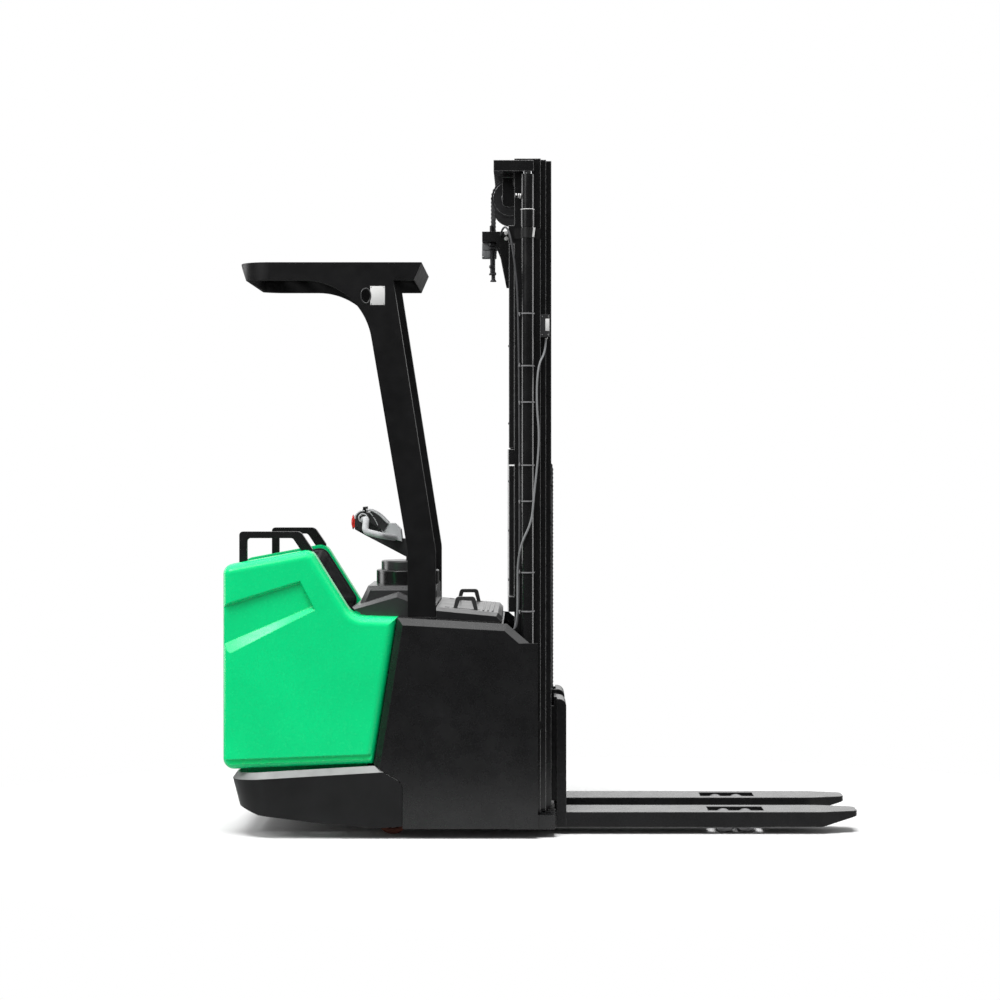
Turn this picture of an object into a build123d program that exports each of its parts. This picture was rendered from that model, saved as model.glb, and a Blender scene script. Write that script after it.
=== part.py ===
"""Ride-on electric stacker with a three-stage mast, an overhead guard and fork-over legs.

Frame: millimetres, +X towards the fork tips, +Z up, origin on the floor below the
middle of the truck.  The right-hand side of the truck is at negative Y.
"""
import math
import os

from build123d import *

# Whole truck
REAR_X = -1249.5
FORK_TIP_X = 1249.5
HALF_WIDTH = 400.0
RUN_FIT = 0.05
SKIN_GAP = 2.0
PANEL_DEPTH = 30.0
SIDE_PANEL_INNER_Y = HALF_WIDTH - PANEL_DEPTH
COVER_SET_IN = 22.0
COVER_THICK = 94.0
COVER_Y = (HALF_WIDTH - COVER_SET_IN - COVER_THICK, HALF_WIDTH - COVER_SET_IN)
FLOOR_HALF = COVER_Y[0] - SKIN_GAP

# Mast rails: C channels that open towards the middle, each stage nested in the next
RAIL_WIDTH = 103.4
RAIL_DEPTH = 35.0
RAIL_WEB = 10.0
RAIL_FLANGE = 12.0
RAIL_SET_IN = 85.0
RAIL_FACE_Y = HALF_WIDTH - RAIL_SET_IN
RAIL_REAR_X = -110.0
STAGE_GAP = 0.5
STAGE_STEP_X = 21.5
MAST_TOP_Z = 2663.0
MAST_BASE_Z = 92.0
CROSS_PLATE = 12.0
OUTER_CROSS_THICK = 23.0
OUTER_TOP_DROP = 333.0
OUTER_CROSS_Z = ((MAST_TOP_Z - OUTER_TOP_DROP, MAST_TOP_Z - OUTER_TOP_DROP + 70.0), (1460.0, 1520.0),
                 (880.0, 940.0), (120.0, 180.0))
MIDDLE_TOP_DROP = 303.0
MIDDLE_CROSS_Z = ((MAST_TOP_Z - MIDDLE_TOP_DROP, MAST_TOP_Z - MIDDLE_TOP_DROP + 60.0), (1130.0, 1190.0),
                  (110.0, 190.0))
HEAD_DROP = 13.0
INNER_TOP_CROSS = (-40.0, 22.0, MAST_TOP_Z - HEAD_DROP - 60.0, MAST_TOP_Z - HEAD_DROP)
INNER_FOOT_THICK = 20.0
INNER_FOOT_REAR_X = -64.0

# Mast and carriage rollers
ROLLER_GAP = 0.4
ROLLER_WIDTH = 20.0
ROLLER_SIDE_GAP = 2.0
ROLLER_PIN_R = 15.0
PIN_END = 1.5
MAST_ROLLER_Z = 150.0
CARRIAGE_ROLLER_Z = (165.0, 450.0)

# Main lift cylinders beside the outer rails
CYLINDER_X = -58.0
CYLINDER_R = 25.0
CYLINDER_GAP = 2.0
CYLINDER_Y = RAIL_FACE_Y + CYLINDER_R + CYLINDER_GAP
CYLINDER_TOP_Z = MAST_TOP_Z - 66.0
CYLINDER_FOOT_Z = 95.0
CYLINDER_BOTTOM_WALL = 45.0
GLAND_R = 27.0
GLAND_Z = (CYLINDER_TOP_Z - 206.0, CYLINDER_TOP_Z - 137.0)
ROD_R = 17.5
ROD_END_GAP = 10.0
BLEED_R = 9.0
BLEED_Z = CYLINDER_TOP_Z - 85.0
BLEED_TIP_X = -107.0

# Crosshead of the middle mast, its sheaves and the main chains
HEAD_DEPTH = 43.0
HEAD_Z = (MAST_TOP_Z - HEAD_DROP - HEAD_DEPTH, MAST_TOP_Z - HEAD_DROP)
HEAD_REAR_X = -191.0
HEAD_BEAM_FRONT_X = -115.0
HEAD_ARM_Y = (RAIL_FACE_Y + 5.0, CYLINDER_Y + 23.0)
HEAD_ARM_FRONT_X = -34.0
HEAD_LINK_DEPTH = 30.0
SHEAVE_X = -124.5
SHEAVE_Z = MAST_TOP_Z - 140.0
SHEAVE_SET_IN = 155.0
SHEAVE_Y = RAIL_FACE_Y - SHEAVE_SET_IN
SHEAVE_ROOT_R = 69.0
SHEAVE_FLANGE_R = 76.0
SHEAVE_FLANGE = 3.0
SHEAVE_PIN_R = 14.0
CHAIN_GAP = 0.4
CHAIN_WIDTH = 16.0
CHAIN_THICK = 11.0
CHAIN_PITCH = 12.7
CHAIN_NOTCH = 2.2
CHEEK_THICK = 6.0
CHEEK_SIDE_GAP = 1.0
CHEEK_HALF_WIDTH = 34.0
ANCHOR_PLATE_X = -239.0
ANCHOR_PLATE_Z = (SHEAVE_Z - 174.0, SHEAVE_Z - 134.0)
ANCHOR_HALF_WIDTH = 30.0
ANCHOR_GUSSET_FOOT_Z = ANCHOR_PLATE_Z[0] - 155.0
ANCHOR_GUSSET_X = -170.0
ANCHOR_BOLT_R = 7.0
ANCHOR_BOLT_Z = ANCHOR_PLATE_Z[0] - 131.0
ANCHOR_CLEVIS_TOP_Z = ANCHOR_PLATE_Z[1] + 26.0
CLEVIS_R = 10.0

# Free-lift cylinder on the inner mast, its crosshead, sheaves and chains
FREE_X = -9.0
FREE_BARREL_R = 42.0
FREE_BARREL_TOP_Z = 1380.0
FREE_ROD_R = 25.0
FREE_SHEAVE_Z = 1440.0
FREE_SHEAVE_Y = 58.0
FREE_ROOT_R = 44.5
FREE_FLANGE_R = 51.0
FREE_HEAD_Z = (1392.0, 1470.0)
FREE_ANCHOR_Z = (580.0, 610.0)
FREE_COLLAR_R = 50.0
FREE_HEAD_X_HALF = 28.0
FREE_ROD_FOOT_Z = 300.0
FREE_BRACKET_X = (-70.0, -45.0)
CARRIAGE_LUG_Z = (505.0, 551.0)

# Carriage and forks
SHANK_X = (58.0, 95.0)
SHANK_TOP_Z = 535.0
SHANK_TOP_ROUND = 30.0
CARRIAGE_PLATE_THICK = 14.0
CARRIAGE_PLATE_Z = (122.0, 500.0)
CARRIAGE_PLATE_REAR_X = -45.0
CARRIAGE_CROSS_X = 48.0
CARRIAGE_CROSS_Z = ((440, 535), (125, 205))
FORK_CENTRE_Y = 192.5
FORK_WIDTH = 185.0
FORK_TOP_Z = 88.5
FORK_TOP_THICK = 12.0
FORK_SKIRT_Z = 29.6
FORK_SKIRT = 8.0
FORK_TAPER_X = 1108.0
FORK_TIP_WIDTH = 110.0
FORK_TIP_Z = 68.0
BOGIE_X = 769.0
FORK_SLOT_X = (BOGIE_X - 111.0, BOGIE_X + 111.0)
FORK_SLOT_WIDTH = 104.0
FORK_CAVITY_END_X = 1130.0

# Straddle legs, their bogies and load rollers
LEG_WIDTH = 140.0
LEG_Z = (25.0, 76.0)
LEG_END_X = BOGIE_X + 136.0
LEG_SLOT_X = (BOGIE_X - 107.0, BOGIE_X + 107.0)
LEG_SLOT_HALF = 48.0
LEG_BEAM_X = (-130.0, 50.0)
LEG_BEAM_Z = (33.0, 88.0)
LEG_BEAM_HALF = SIDE_PANEL_INNER_Y - SKIN_GAP
LOAD_ROLLER_R = 42.0
LOAD_ROLLER_WIDTH = 70.0
LOAD_ROLLER_SPACING = 87.5
LOAD_PIN_R = 10.0
BOGIE_PLATE = 8.0
BOGIE_SIDE_GAP = 1.5
BOGIE_END_R = 22.0
BOGIE_PIN_R = 12.0

# Chassis weldment
CHASSIS_FLOOR_Z = 40.0
BULKHEAD_X = (-165.0, -153.0)
BULKHEAD_Z = (60.0, 836.0)
SIDE_PLATE = 10.0
DECK_Z = (850.0, 862.0)
FRONT_WALL_X = (-690.0, -680.0)
BATTERY_FLOOR_Z = (200.0, 210.0)
MID_WALL_X = (-418.0, -408.0)
DRIVE_PLATE_Z = (345.0, 357.0)
CASTER_SHELF_Z = (200.0, 212.0)
FLOOR_BEAM = 20.0
FLOOR_BEAM_Y = (FLOOR_HALF - FLOOR_BEAM, FLOOR_HALF)
FLOOR_BEAM_Z = (120.0, 190.0)
FLOOR_REAR_X = -1158.0
OUTRIGGER_X = ((-1000, -950), (-790, -740))
MAST_BLOCK_Z = ((210, 270), (640, 700))
MAST_BLOCK_Y = (RAIL_FACE_Y - 31.0, RAIL_FACE_Y - 3.0)
LEDGE_DEPTH = 30.0
REAR_BAR = 20.0
OUTRIGGER_Z = 150.0

# Drive unit and tiller turret share one vertical axis
STEER_X = -545.0
DRIVE_WHEEL_R = 115.0
DRIVE_WHEEL_WIDTH = 75.0
DRIVE_PIN_R = 22.0
DRIVE_RING_R = 119.0
DRIVE_RING_THICK = 26.0
DRIVE_MOTOR_R = 82.0
DRIVE_MOTOR_TOP_Z = 610.0
DRIVE_CASE_THICK = 50.0
DRIVE_CASE_HALF = 62.0
DRIVE_CASE_FOOT_Z = 62.0
DRIVE_HOLE_GAP = 6.0
DRIVE_SIDE_GAP = 6.0
WHEEL_BEVEL = 4.0
WHEEL_DISH = 8.0
WHEEL_BOSS = 12.0
DRIVE_RIM_SHARE = 0.68
TURRET_GAP = 1.0
STEER_BEARING_GAP = 0.3
TURRET_BASE_R = 127.0
TURRET_BASE_TOP_Z = 1034.0
TURRET_CAP_R = 107.0
TURRET_CAP_TOP_Z = 1071.0
TURRET_ROUND = 6.0
TILLER_SHAFT_R = 20.0
TILLER_SHAFT_LENGTH = 40.0

# Swivel casters
CASTER_X = -550.0
CASTER_Y = SIDE_PANEL_INNER_Y - 120.0
CASTER_SHELF_Y0 = CASTER_Y - 80.0
CASTER_TRAIL = 40.0
CASTER_WHEEL_R = 62.0
CASTER_WHEEL_WIDTH = 45.0
CASTER_STEM_R = 16.0
CASTER_PIN_R = 8.0
CASTER_CHEEK = 6.0
CASTER_SIDE_GAP = 2.0
CASTER_CROWN = 14.0
CASTER_CROWN_GAP = 2.0
CASTER_EYE_R = 16.0

# Operator platform
FLOOR_PLATE = 8.0
FLOOR_TOP_Z = FLOOR_BEAM_Z[1] + FLOOR_PLATE
MAT_GAP = 5.0
MAT_THICK = 10.0
MAT_MARGIN = 18.0
MAT_PIN_R = 8.0
MAT_PIN_LENGTH = 24.0
MAT_RIB_PITCH = 40.0
MAT_GROOVE = 8.0

# Bumper skirt round the rear
BUMPER_WALL = 30.0
BUMPER_CORNER_R = 130.0
BUMPER_BEVEL = 24.0
BUMPER_FRONT_X = -547.0
BUMPER_Z = (30.0, 300.0)
BUMPER_TOP_REAR_X = -1240.0
BUMPER_FOOT_REAR_X = -1170.0
BUMPER_TOP_LINE = ((-1260.0, 247.5), (-656.0, 283.0))
BUMPER_SHOULDER = (-560.0, 226.0)
BUMPER_NOSE_Z = 204.0
BUMPER_FOOT_LINE = ((BUMPER_FRONT_X, 50.0), (-652.0, 42.0), (-880.0, 64.0), (-1108.0, 92.0), (-1260.0, 146.0))

# Moulded green side covers, pads and grab handles
COVER_FOOT_Z = 266.0
COVER_FRONT_FOOT_Z = 288.0
COVER_REAR_TOP_Z = 1064.0
COVER_CREST = (-906.0, 1128.0)
COVER_DIP = (-742.0, 866.0)
COVER_FRONT_TOP = (-568.0, 861.0)
COVER_FRONT_FOOT_X = -660.0
COVER_CREST_R = 44.0
COVER_DIP_R = 85.0
COVER_CORNER_R = 42.0
COVER_TOP_R = 40.0
COVER_EDGE_R = 36.0
COVER_WALL = 22.0
COVER_RECESS_DEPTH = 16.0
RECESS_MOUTH = ((-1262.0, 908.0), (-946.0, 1005.0), (-888.0, 892.0), (-1262.0, 700.0))
RECESS_FLOOR = ((-1262.0, 899.0), (-951.0, 995.0), (-899.0, 905.0), (-1262.0, 752.0))
COVER_LIP_Z = 20.0
COVER_LIP_DEPTH = 9.0
COVER_FLANGE = 9.0
PAD_THICK = 22.0
PAD_CROWN = 9.0
PAD_CORNER_R = 40.0
PAD_OUTLINE = ((-1212.0, 700.0), (-1212.0, 1040.0), (-916.0, 1098.0), (-789.0, 897.0), (-845.0, 700.0))
HANDLE_WIDTH = 26.0
HANDLE_Y = (COVER_Y[0] + SKIN_GAP, COVER_Y[0] + SKIN_GAP + HANDLE_WIDTH)
HANDLE_REAR_X = {"right": -1192.0, "left": -1132.0}
HANDLE_FRONT_X = -905.0
HANDLE_TOP_Z = 1196.0
HANDLE_BAR = 26.0
HANDLE_POST = 30.0
HANDLE_LEG = 40.0
HANDLE_ROUND = 14.0
HANDLE_BEND_X = -951.0

# Side panels of the drive and battery housing
PANEL_SKIN = 6.0
PANEL_BEVEL = 26.0
PANEL_RIM = 34.0
PANEL_FRONT_X = -18.0
PANEL_TOP_FRONT = (-138.0, 837.0)
PANEL_STEP = (-52.0, 763.0)

# Overhead guard
GUARD_POST_DEPTH = 40.0
GUARD_Y = (COVER_Y[0] + 6.0, COVER_Y[0] + 6.0 + GUARD_POST_DEPTH)
GUARD_TOP_Z = 2254.0
GUARD_ARM_Z = 2184.0
GUARD_ROOF = 8.0
GUARD_REAR_TOP_X = -1195.0
GUARD_REAR_FOOT_X = -1168.0
GUARD_FRONT_TOP_X = -474.0
GUARD_FRONT_FOOT_X = -505.0
GUARD_POST_TOP_X = -586.0
GUARD_POST_FRONT_X = -419.0
GUARD_POST_WIDTH = 110.0
GUARD_POST_TOP_WIDTH = 124.0
GUARD_KNEE_R = 160.0
GUARD_KNEE_Z = 1120.0
GUARD_ARM_R = 270.0
GUARD_CORNER_R = 120.0
GUARD_BAR_PITCH = 96.0
GUARD_SLOT_WIDTH = 62.0
GUARD_SLOTS = 6
GUARD_EYE = (-693.0, 2122.0)
GUARD_EYE_SIZE = (40.0, 59.0)

# Console
CONSOLE_TOP_Z = 976.0
CONSOLE_FRONT_X = -420.0
CONSOLE_HALF = 200.0
CONSOLE_WING_HALF = FLOOR_HALF
CONSOLE_BEVEL = 18.0
CONSOLE_REAR = (-725.0, 912.0)
CONSOLE_TOP_REAR_X = -694.0
CONSOLE_FOOT = ((CONSOLE_FRONT_X, DECK_Z[1]), (CONSOLE_REAR[0], DECK_Z[1]))
MIDDLE_OUTLINE = (CONSOLE_REAR, (CONSOLE_TOP_REAR_X, CONSOLE_TOP_Z), (CONSOLE_FRONT_X, CONSOLE_TOP_Z),
                  *CONSOLE_FOOT)
MIDDLE_SIDE = ((CONSOLE_REAR[0] + CONSOLE_BEVEL, CONSOLE_REAR[1] - CONSOLE_BEVEL / 2),
               (CONSOLE_TOP_REAR_X + CONSOLE_BEVEL / 2, CONSOLE_TOP_Z - CONSOLE_BEVEL),
               (CONSOLE_FRONT_X, CONSOLE_TOP_Z - CONSOLE_BEVEL), CONSOLE_FOOT[0],
               (CONSOLE_REAR[0] + CONSOLE_BEVEL, DECK_Z[1]))
WING_TOP = ((-751.0, 896.0), (-573.0, 954.0), (-533.0, 939.0), (CONSOLE_FRONT_X, 930.0))
WING_FOOT = ((CONSOLE_FRONT_X, DECK_Z[1]), (FRONT_WALL_X[0], DECK_Z[1]), (-740.0, 884.0))
WING_TIP = (-742.0, 888.0)
WING_OUTLINE = (*WING_TOP, *WING_FOOT)
WING_SIDE = (WING_TIP, *((x, z - CONSOLE_BEVEL) for x, z in WING_TOP[1:]), *WING_FOOT)
SWITCH_X = -470.0
SWITCH_Y = 140.0
SWITCH_SEAT_Z = 946.0
STOP_STEM_R = 8.0
STOP_HEAD_R = 18.0
STOP_HEAD = 16.0
STOP_TRAVEL = 5.0
KEY_BARREL_R = 9.0
KEY_COLLAR = 6.0
KEY_BOW = 20.0
KEY_THICK = 4.0

# Tiller: outlines are side views
ARM_HALF = 36.0
ARM_ROUND = 12.0
ARM_OUTLINE = ((-550.0, TURRET_CAP_TOP_Z), (-455.0, TURRET_CAP_TOP_Z), (-455.0, 1128.0), (-480.0, 1150.0),
               (-575.0, 1162.0), (-640.0, 1185.0), (-690.0, 1222.0), (-700.0, 1250.0), (-757.0, 1250.0),
               (-757.0, 1196.0), (-712.0, 1171.0), (-643.0, 1135.0), (-550.0, 1086.0))
TILLER_HEAD_HALF = 62.0
HEAD_ROUND = 6.0
HEAD_OUTLINE = ((-757.0, 1196.0), (-757.0, 1255.0), (-735.0, 1272.0), (-700.0, 1264.0), (-706.0, 1190.0))
BUTTON_X = (-773.0, -745.0)
BUTTON_Z = (1202.0, 1250.0)
BUTTON_HALF = 30.0
BUTTON_GAP = 0.6
BUTTON_ROUND = 18.0
BUTTON_TRAVEL = 8.0
THUMB_AXIS = (-718.0, 1272.0)
THUMB_R = 9.0
THUMB_WIDTH = 30.0
THUMB_PADDLE = 12.0
THUMB_TOP_Z = 1288.0
HOOD_HALF = 48.0
HOOD_ROUND = 14.0
HOOD_OUTLINE = ((-640.0, 1168.0), (-650.0, 1194.0), (-625.0, 1222.0), (-598.0, 1222.0), (-572.0, 1196.0),
                (-566.0, 1148.0))
GRIP_R = 13.0
GRIP_BEND_R = 18.0
GRIP_ROUTE = ((-722.0, -56.0, 1236.0), (-704.0, -150.0, 1240.0), (-708.0, -168.0, 1192.0),
              (-644.0, -160.0, 1176.0), (-598.0, -44.0, 1164.0))
BRIDGE_HALF = 52.0
BRIDGE_OUTLINE = ((-702.0, 1230.0), (-702.0, 1262.0), (-690.0, 1276.0), (-652.0, 1252.0), (-622.0, 1221.0),
                  (-640.0, 1190.0))

# Battery and its lift-off cover
BATTERY_GAP = 5.0
BATTERY_TOP_Z = 834.0
LID_X = (-416.0, -160.0)
LID_HALF = SIDE_PANEL_INNER_Y - 25.0
LID_FOOT_Z = (856.0, 842.0)
LID_TOP_Z = (901.0, 877.0)
LID_BEVEL = 14.0
LID_WALL = 6.0
LID_HANDLE_X = (-354.0, -252.0)
LID_HANDLE_Y = (LID_HALF - 83.0, LID_HALF - 57.0)
LID_HANDLE_RISE = 48.0
LID_HANDLE_BAR = 14.0
PUMP_TANK_TOP_Z = 520.0
PUMP_MOTOR_TOP_Z = 700.0
PUMP_MOTOR_R = 60.0
CONTROLLER_TOP_Z = 480.0
CONTROLLER_FINS = 12

# Fittings on the mast
SCREEN_THICK = 4.0
SCREEN_HALF = RAIL_FACE_Y - 45.0
SWITCH_BOX = (43.0, 61.0)
SENSOR_SIZE = (36.6, 26.0)
SENSOR_Z = (1961.0, 2051.0)
CLAMP_Z = ((CYLINDER_TOP_Z - 250.0, CYLINDER_TOP_Z - 210.0), (420.0, 450.0))
CLAMP_THICK = 2.5
TIE_Z = (2048.0, 1843.0, 1701.0, 1454.0, 1313.0, 1034.0, 882.0)
TIE_WIDTH = 6.0
TIE_THICK = 1.6
CABLE_R = 4.0
CABLE_GAP = 0.4
TIE_GRIP_X = CYLINDER_X - CYLINDER_R - CABLE_R - CABLE_GAP
LONGEST_BEND = 160.0
SWITCH_ROUTE = ((-165.0, -SHEAVE_Y - ANCHOR_HALF_WIDTH, ANCHOR_PLATE_Z[1] - 17.0),
                (-165.0, -SHEAVE_Y - 75.0, ANCHOR_PLATE_Z[1] - 17.0),
                (-152.0, 42.0 - CYLINDER_Y, ANCHOR_PLATE_Z[1] + 3.0),
                (-142.0, 4.0 - CYLINDER_Y, ANCHOR_PLATE_Z[0] + 9.0),
                (-114.0, -1.0 - CYLINDER_Y, ANCHOR_PLATE_Z[0] - 83.0), (TIE_GRIP_X, -CYLINDER_Y, 2085.0),
                (TIE_GRIP_X, -CYLINDER_Y, 850.0), (-116.0, 6.0 - CYLINDER_Y, 800.0),
                (BULKHEAD_X[1], 6.0 - CYLINDER_Y, 800.0))
SENSOR_ROUTE = ((14.0, 13.0 - RAIL_FACE_Y, SENSOR_Z[0]), (14.0, 13.0 - RAIL_FACE_Y, 1905.0),
                (-18.0, -10.0 - CYLINDER_Y, 1850.0), (-24.0, -20.0 - CYLINDER_Y, 1700.0),
                (-10.0, -24.0 - CYLINDER_Y, 1555.0), (-34.0, -32.0 - CYLINDER_Y, 1330.0),
                (-42.0, -34.0 - CYLINDER_Y, 1235.0), (-84.0, -34.0 - CYLINDER_Y, 1150.0),
                (-97.0, -10.0 - CYLINDER_Y, 1070.0), (-97.4, -CYLINDER_Y, 980.0),
                (-97.8, 1.0 - CYLINDER_Y, 850.0),
                (-120.0, 20.0 - CYLINDER_Y, 786.0), (BULKHEAD_X[1], 20.0 - CYLINDER_Y, 786.0))


def block(x0, x1, y0, y1, z0, z1):
    """Box between two corners."""
    centre = ((x0 + x1) / 2, (y0 + y1) / 2, (z0 + z1) / 2)
    return Pos(*centre) * Box(abs(x1 - x0), abs(y1 - y0), abs(z1 - z0))


def outline(points, rounds=None):
    """Flat face with straight sides; rounds gives a corner's radius by its index."""
    if not rounds:
        return make_face(Polyline(*points, close=True))
    radii = [rounds.get(index, 0) for index in range(len(points))]
    return make_face(FilletPolyline(*points, radius=radii, close=True))


def prism_xz(points, y0, y1, rounds=None):
    """Side-view outline (X, Z) extruded from y0 to y1."""
    plane = Plane(origin=(0, y1, 0), x_dir=(1, 0, 0), z_dir=(0, -1, 0))
    return extrude(plane * outline(points, rounds), amount=y1 - y0, dir=(0, -1, 0))


def prism_xy(points, z0, z1, rounds=None):
    """Plan outline (X, Y) extruded from z0 to z1."""
    return extrude(Pos(0, 0, z0) * outline(points, rounds), amount=z1 - z0, dir=(0, 0, 1))


def post(x, y, z0, z1, radius):
    """Upright cylinder."""
    return Pos(x, y, (z0 + z1) / 2) * Cylinder(radius, z1 - z0)


def cross_pin(x, z, y0, y1, radius):
    """Cylinder along Y."""
    return Pos(x, (y0 + y1) / 2, z) * Rot(90, 0, 0) * Cylinder(radius, abs(y1 - y0))


def other_side(shape):
    """Mirror image on the left-hand side of the truck."""
    return mirror(shape, about=Plane.XZ)


def both(shape):
    """A right-hand piece and its mirror image, as separate solids."""
    return [shape, other_side(shape)]


def joined(*shapes):
    """One welded solid."""
    first, *rest = shapes
    return first.fuse(*rest).clean()


def write(name, shape):
    """Write one sub-part, given as a solid or as a list of separate solids."""
    solids = shape if isinstance(shape, list) else [shape]
    found = [solid for item in solids for solid in item.solids()]
    export_step(Compound(children=found) if len(found) > 1 else found[0], f"parts/{name}.step")


# Mast rails and rollers

def rail_face(stage):
    """Outer face of a stage's rail, as a distance from the middle plane."""
    return RAIL_FACE_Y - stage * (RAIL_DEPTH + STAGE_GAP)


def rail_rear(stage):
    return RAIL_REAR_X + stage * STAGE_STEP_X


def channel_x(stage):
    """Middle of a stage's channel, where rollers run."""
    return rail_rear(stage) + RAIL_WIDTH / 2


def rail(stage):
    """Right-hand C channel of one stage."""
    face, rear = rail_face(stage), rail_rear(stage)
    bar = block(rear, rear + RAIL_WIDTH, -face, RAIL_DEPTH - face, MAST_BASE_Z, MAST_TOP_Z)
    hollow = block(rear + RAIL_FLANGE, rear + RAIL_WIDTH - RAIL_FLANGE, RAIL_WEB - face,
                   RAIL_DEPTH - face, MAST_BASE_Z, MAST_TOP_Z)
    return bar - hollow


ROLLER_R = RAIL_WIDTH / 2 - RAIL_FLANGE - ROLLER_GAP
CARRIAGE_FACE_Y = rail_face(2) - RAIL_DEPTH - ROLLER_SIDE_GAP
INNER_FOOT_TOP_Z = MAST_BASE_Z + INNER_FOOT_THICK
LEDGE_INNER_Y = SIDE_PANEL_INNER_Y - SIDE_PLATE - LEDGE_DEPTH


def roller_pair(x, z, face):
    """Two rollers on one line, just outside the faces that carry their pins."""
    near = -face - ROLLER_SIDE_GAP
    far = near - ROLLER_WIDTH
    wheel = cross_pin(x, z, far, near, ROLLER_R) - cross_pin(x, z, far, near, ROLLER_PIN_R + RUN_FIT)
    return both(wheel)


def roller_pins(x, z, face):
    tip = face + ROLLER_SIDE_GAP + ROLLER_WIDTH + PIN_END
    return both(cross_pin(x, z, -tip, -face, ROLLER_PIN_R))


def outer_mast():
    crosses = [block(RAIL_REAR_X - OUTER_CROSS_THICK, RAIL_REAR_X, -RAIL_FACE_Y, RAIL_FACE_Y, low, high)
               for low, high in OUTER_CROSS_Z]
    return joined(*both(rail(0)), *crosses)


def middle_mast():
    face, rear = rail_face(1), rail_rear(1)
    crosses = [block(rear - CROSS_PLATE, rear, -face, face, low, high) for low, high in MIDDLE_CROSS_Z]
    beam = block(HEAD_REAR_X, HEAD_BEAM_FRONT_X, -HEAD_ARM_Y[1], HEAD_ARM_Y[1], *HEAD_Z)
    arm = block(HEAD_BEAM_FRONT_X, HEAD_ARM_FRONT_X, -HEAD_ARM_Y[1], -HEAD_ARM_Y[0], *HEAD_Z)
    link = block(HEAD_BEAM_FRONT_X, rear + RAIL_FLANGE, -face, HEAD_LINK_DEPTH - face, *HEAD_Z)
    pins = roller_pins(channel_x(0), MAST_ROLLER_Z, face)
    sheave_seats = [item for cheek in sheave_cheeks() for item in both(cheek)]
    sheave_pin = cross_pin(SHEAVE_X, SHEAVE_Z, -CHEEK_OUT_Y, -CHEEK_IN_Y, SHEAVE_PIN_R)
    return joined(*both(rail(1)), *crosses, beam, *both(arm), *both(link), *pins, *sheave_seats,
                  *both(sheave_pin))


SHEAVE_HALF = CHAIN_WIDTH / 2 + CHAIN_GAP + SHEAVE_FLANGE
CHEEK_IN_Y = SHEAVE_Y - SHEAVE_HALF - CHEEK_SIDE_GAP - CHEEK_THICK
CHEEK_OUT_Y = SHEAVE_Y + SHEAVE_HALF + CHEEK_SIDE_GAP + CHEEK_THICK
MAIN_CHAIN_R = SHEAVE_ROOT_R + CHAIN_GAP + CHAIN_THICK / 2
FREE_CHAIN_R = FREE_ROOT_R + CHAIN_GAP + CHAIN_THICK / 2


def sheave_cheeks():
    """Two hanger plates of the right-hand sheave."""
    foot = SHEAVE_Z - CHEEK_HALF_WIDTH
    points = [(SHEAVE_X - CHEEK_HALF_WIDTH, HEAD_Z[0]), (SHEAVE_X + CHEEK_HALF_WIDTH, HEAD_Z[0]),
              (SHEAVE_X + CHEEK_HALF_WIDTH, foot), (SHEAVE_X - CHEEK_HALF_WIDTH, foot)]
    rounds = {2: CHEEK_HALF_WIDTH / 2, 3: CHEEK_HALF_WIDTH / 2}
    return [prism_xz(points, -CHEEK_OUT_Y, CHEEK_THICK - CHEEK_OUT_Y, rounds),
            prism_xz(points, -CHEEK_IN_Y - CHEEK_THICK, -CHEEK_IN_Y, rounds)]


def sheave(x, y, z, root, flange):
    """Grooved chain wheel turning about Y."""
    groove = CHAIN_WIDTH / 2 + CHAIN_GAP
    wheel = cross_pin(x, z, y - SHEAVE_HALF, y + SHEAVE_HALF, flange)
    ring = cross_pin(x, z, y - groove, y + groove, flange) - cross_pin(x, z, y - groove, y + groove, root)
    bore = cross_pin(x, z, y - SHEAVE_HALF, y + SHEAVE_HALF, SHEAVE_PIN_R + RUN_FIT)
    return wheel - ring - bore


def chain_run(x, y, z0, z1):
    """Straight stretch of leaf chain with a waist between its links."""
    half = CHAIN_THICK / 2
    links = int((z1 - z0) / CHAIN_PITCH)
    waists = [z0 + (index + 1) * (z1 - z0) / (links + 1) for index in range(links)]
    edge = [(half, z0)]
    for waist in waists:
        edge += [(half, waist - CHAIN_NOTCH), (half - CHAIN_NOTCH, waist), (half, waist + CHAIN_NOTCH)]
    edge.append((half, z1))
    points = [(x + across, z) for across, z in edge] + [(x - across, z) for across, z in reversed(edge)]
    return prism_xz(points, y - CHAIN_WIDTH / 2, y + CHAIN_WIDTH / 2)


def chain_wrap(x, y, z, radius):
    """Half turn of chain over a sheave."""
    outer, inner = radius + CHAIN_THICK / 2, radius - CHAIN_THICK / 2
    y0, y1 = y - CHAIN_WIDTH / 2, y + CHAIN_WIDTH / 2
    ring = cross_pin(x, z, y0, y1, outer) - cross_pin(x, z, y0, y1, inner)
    return ring & block(x - outer, x + outer, y0, y1, z, z + outer)


def main_sheaves():
    return both(sheave(SHEAVE_X, -SHEAVE_Y, SHEAVE_Z, SHEAVE_ROOT_R, SHEAVE_FLANGE_R))


def main_chain_rear():
    return both(chain_run(SHEAVE_X - MAIN_CHAIN_R, -SHEAVE_Y, ANCHOR_CLEVIS_TOP_Z, SHEAVE_Z))


def main_chain_front():
    run = chain_run(SHEAVE_X + MAIN_CHAIN_R, -SHEAVE_Y, INNER_FOOT_TOP_Z, SHEAVE_Z)
    return both(joined(run, chain_wrap(SHEAVE_X, -SHEAVE_Y, SHEAVE_Z, MAIN_CHAIN_R)))


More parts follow.
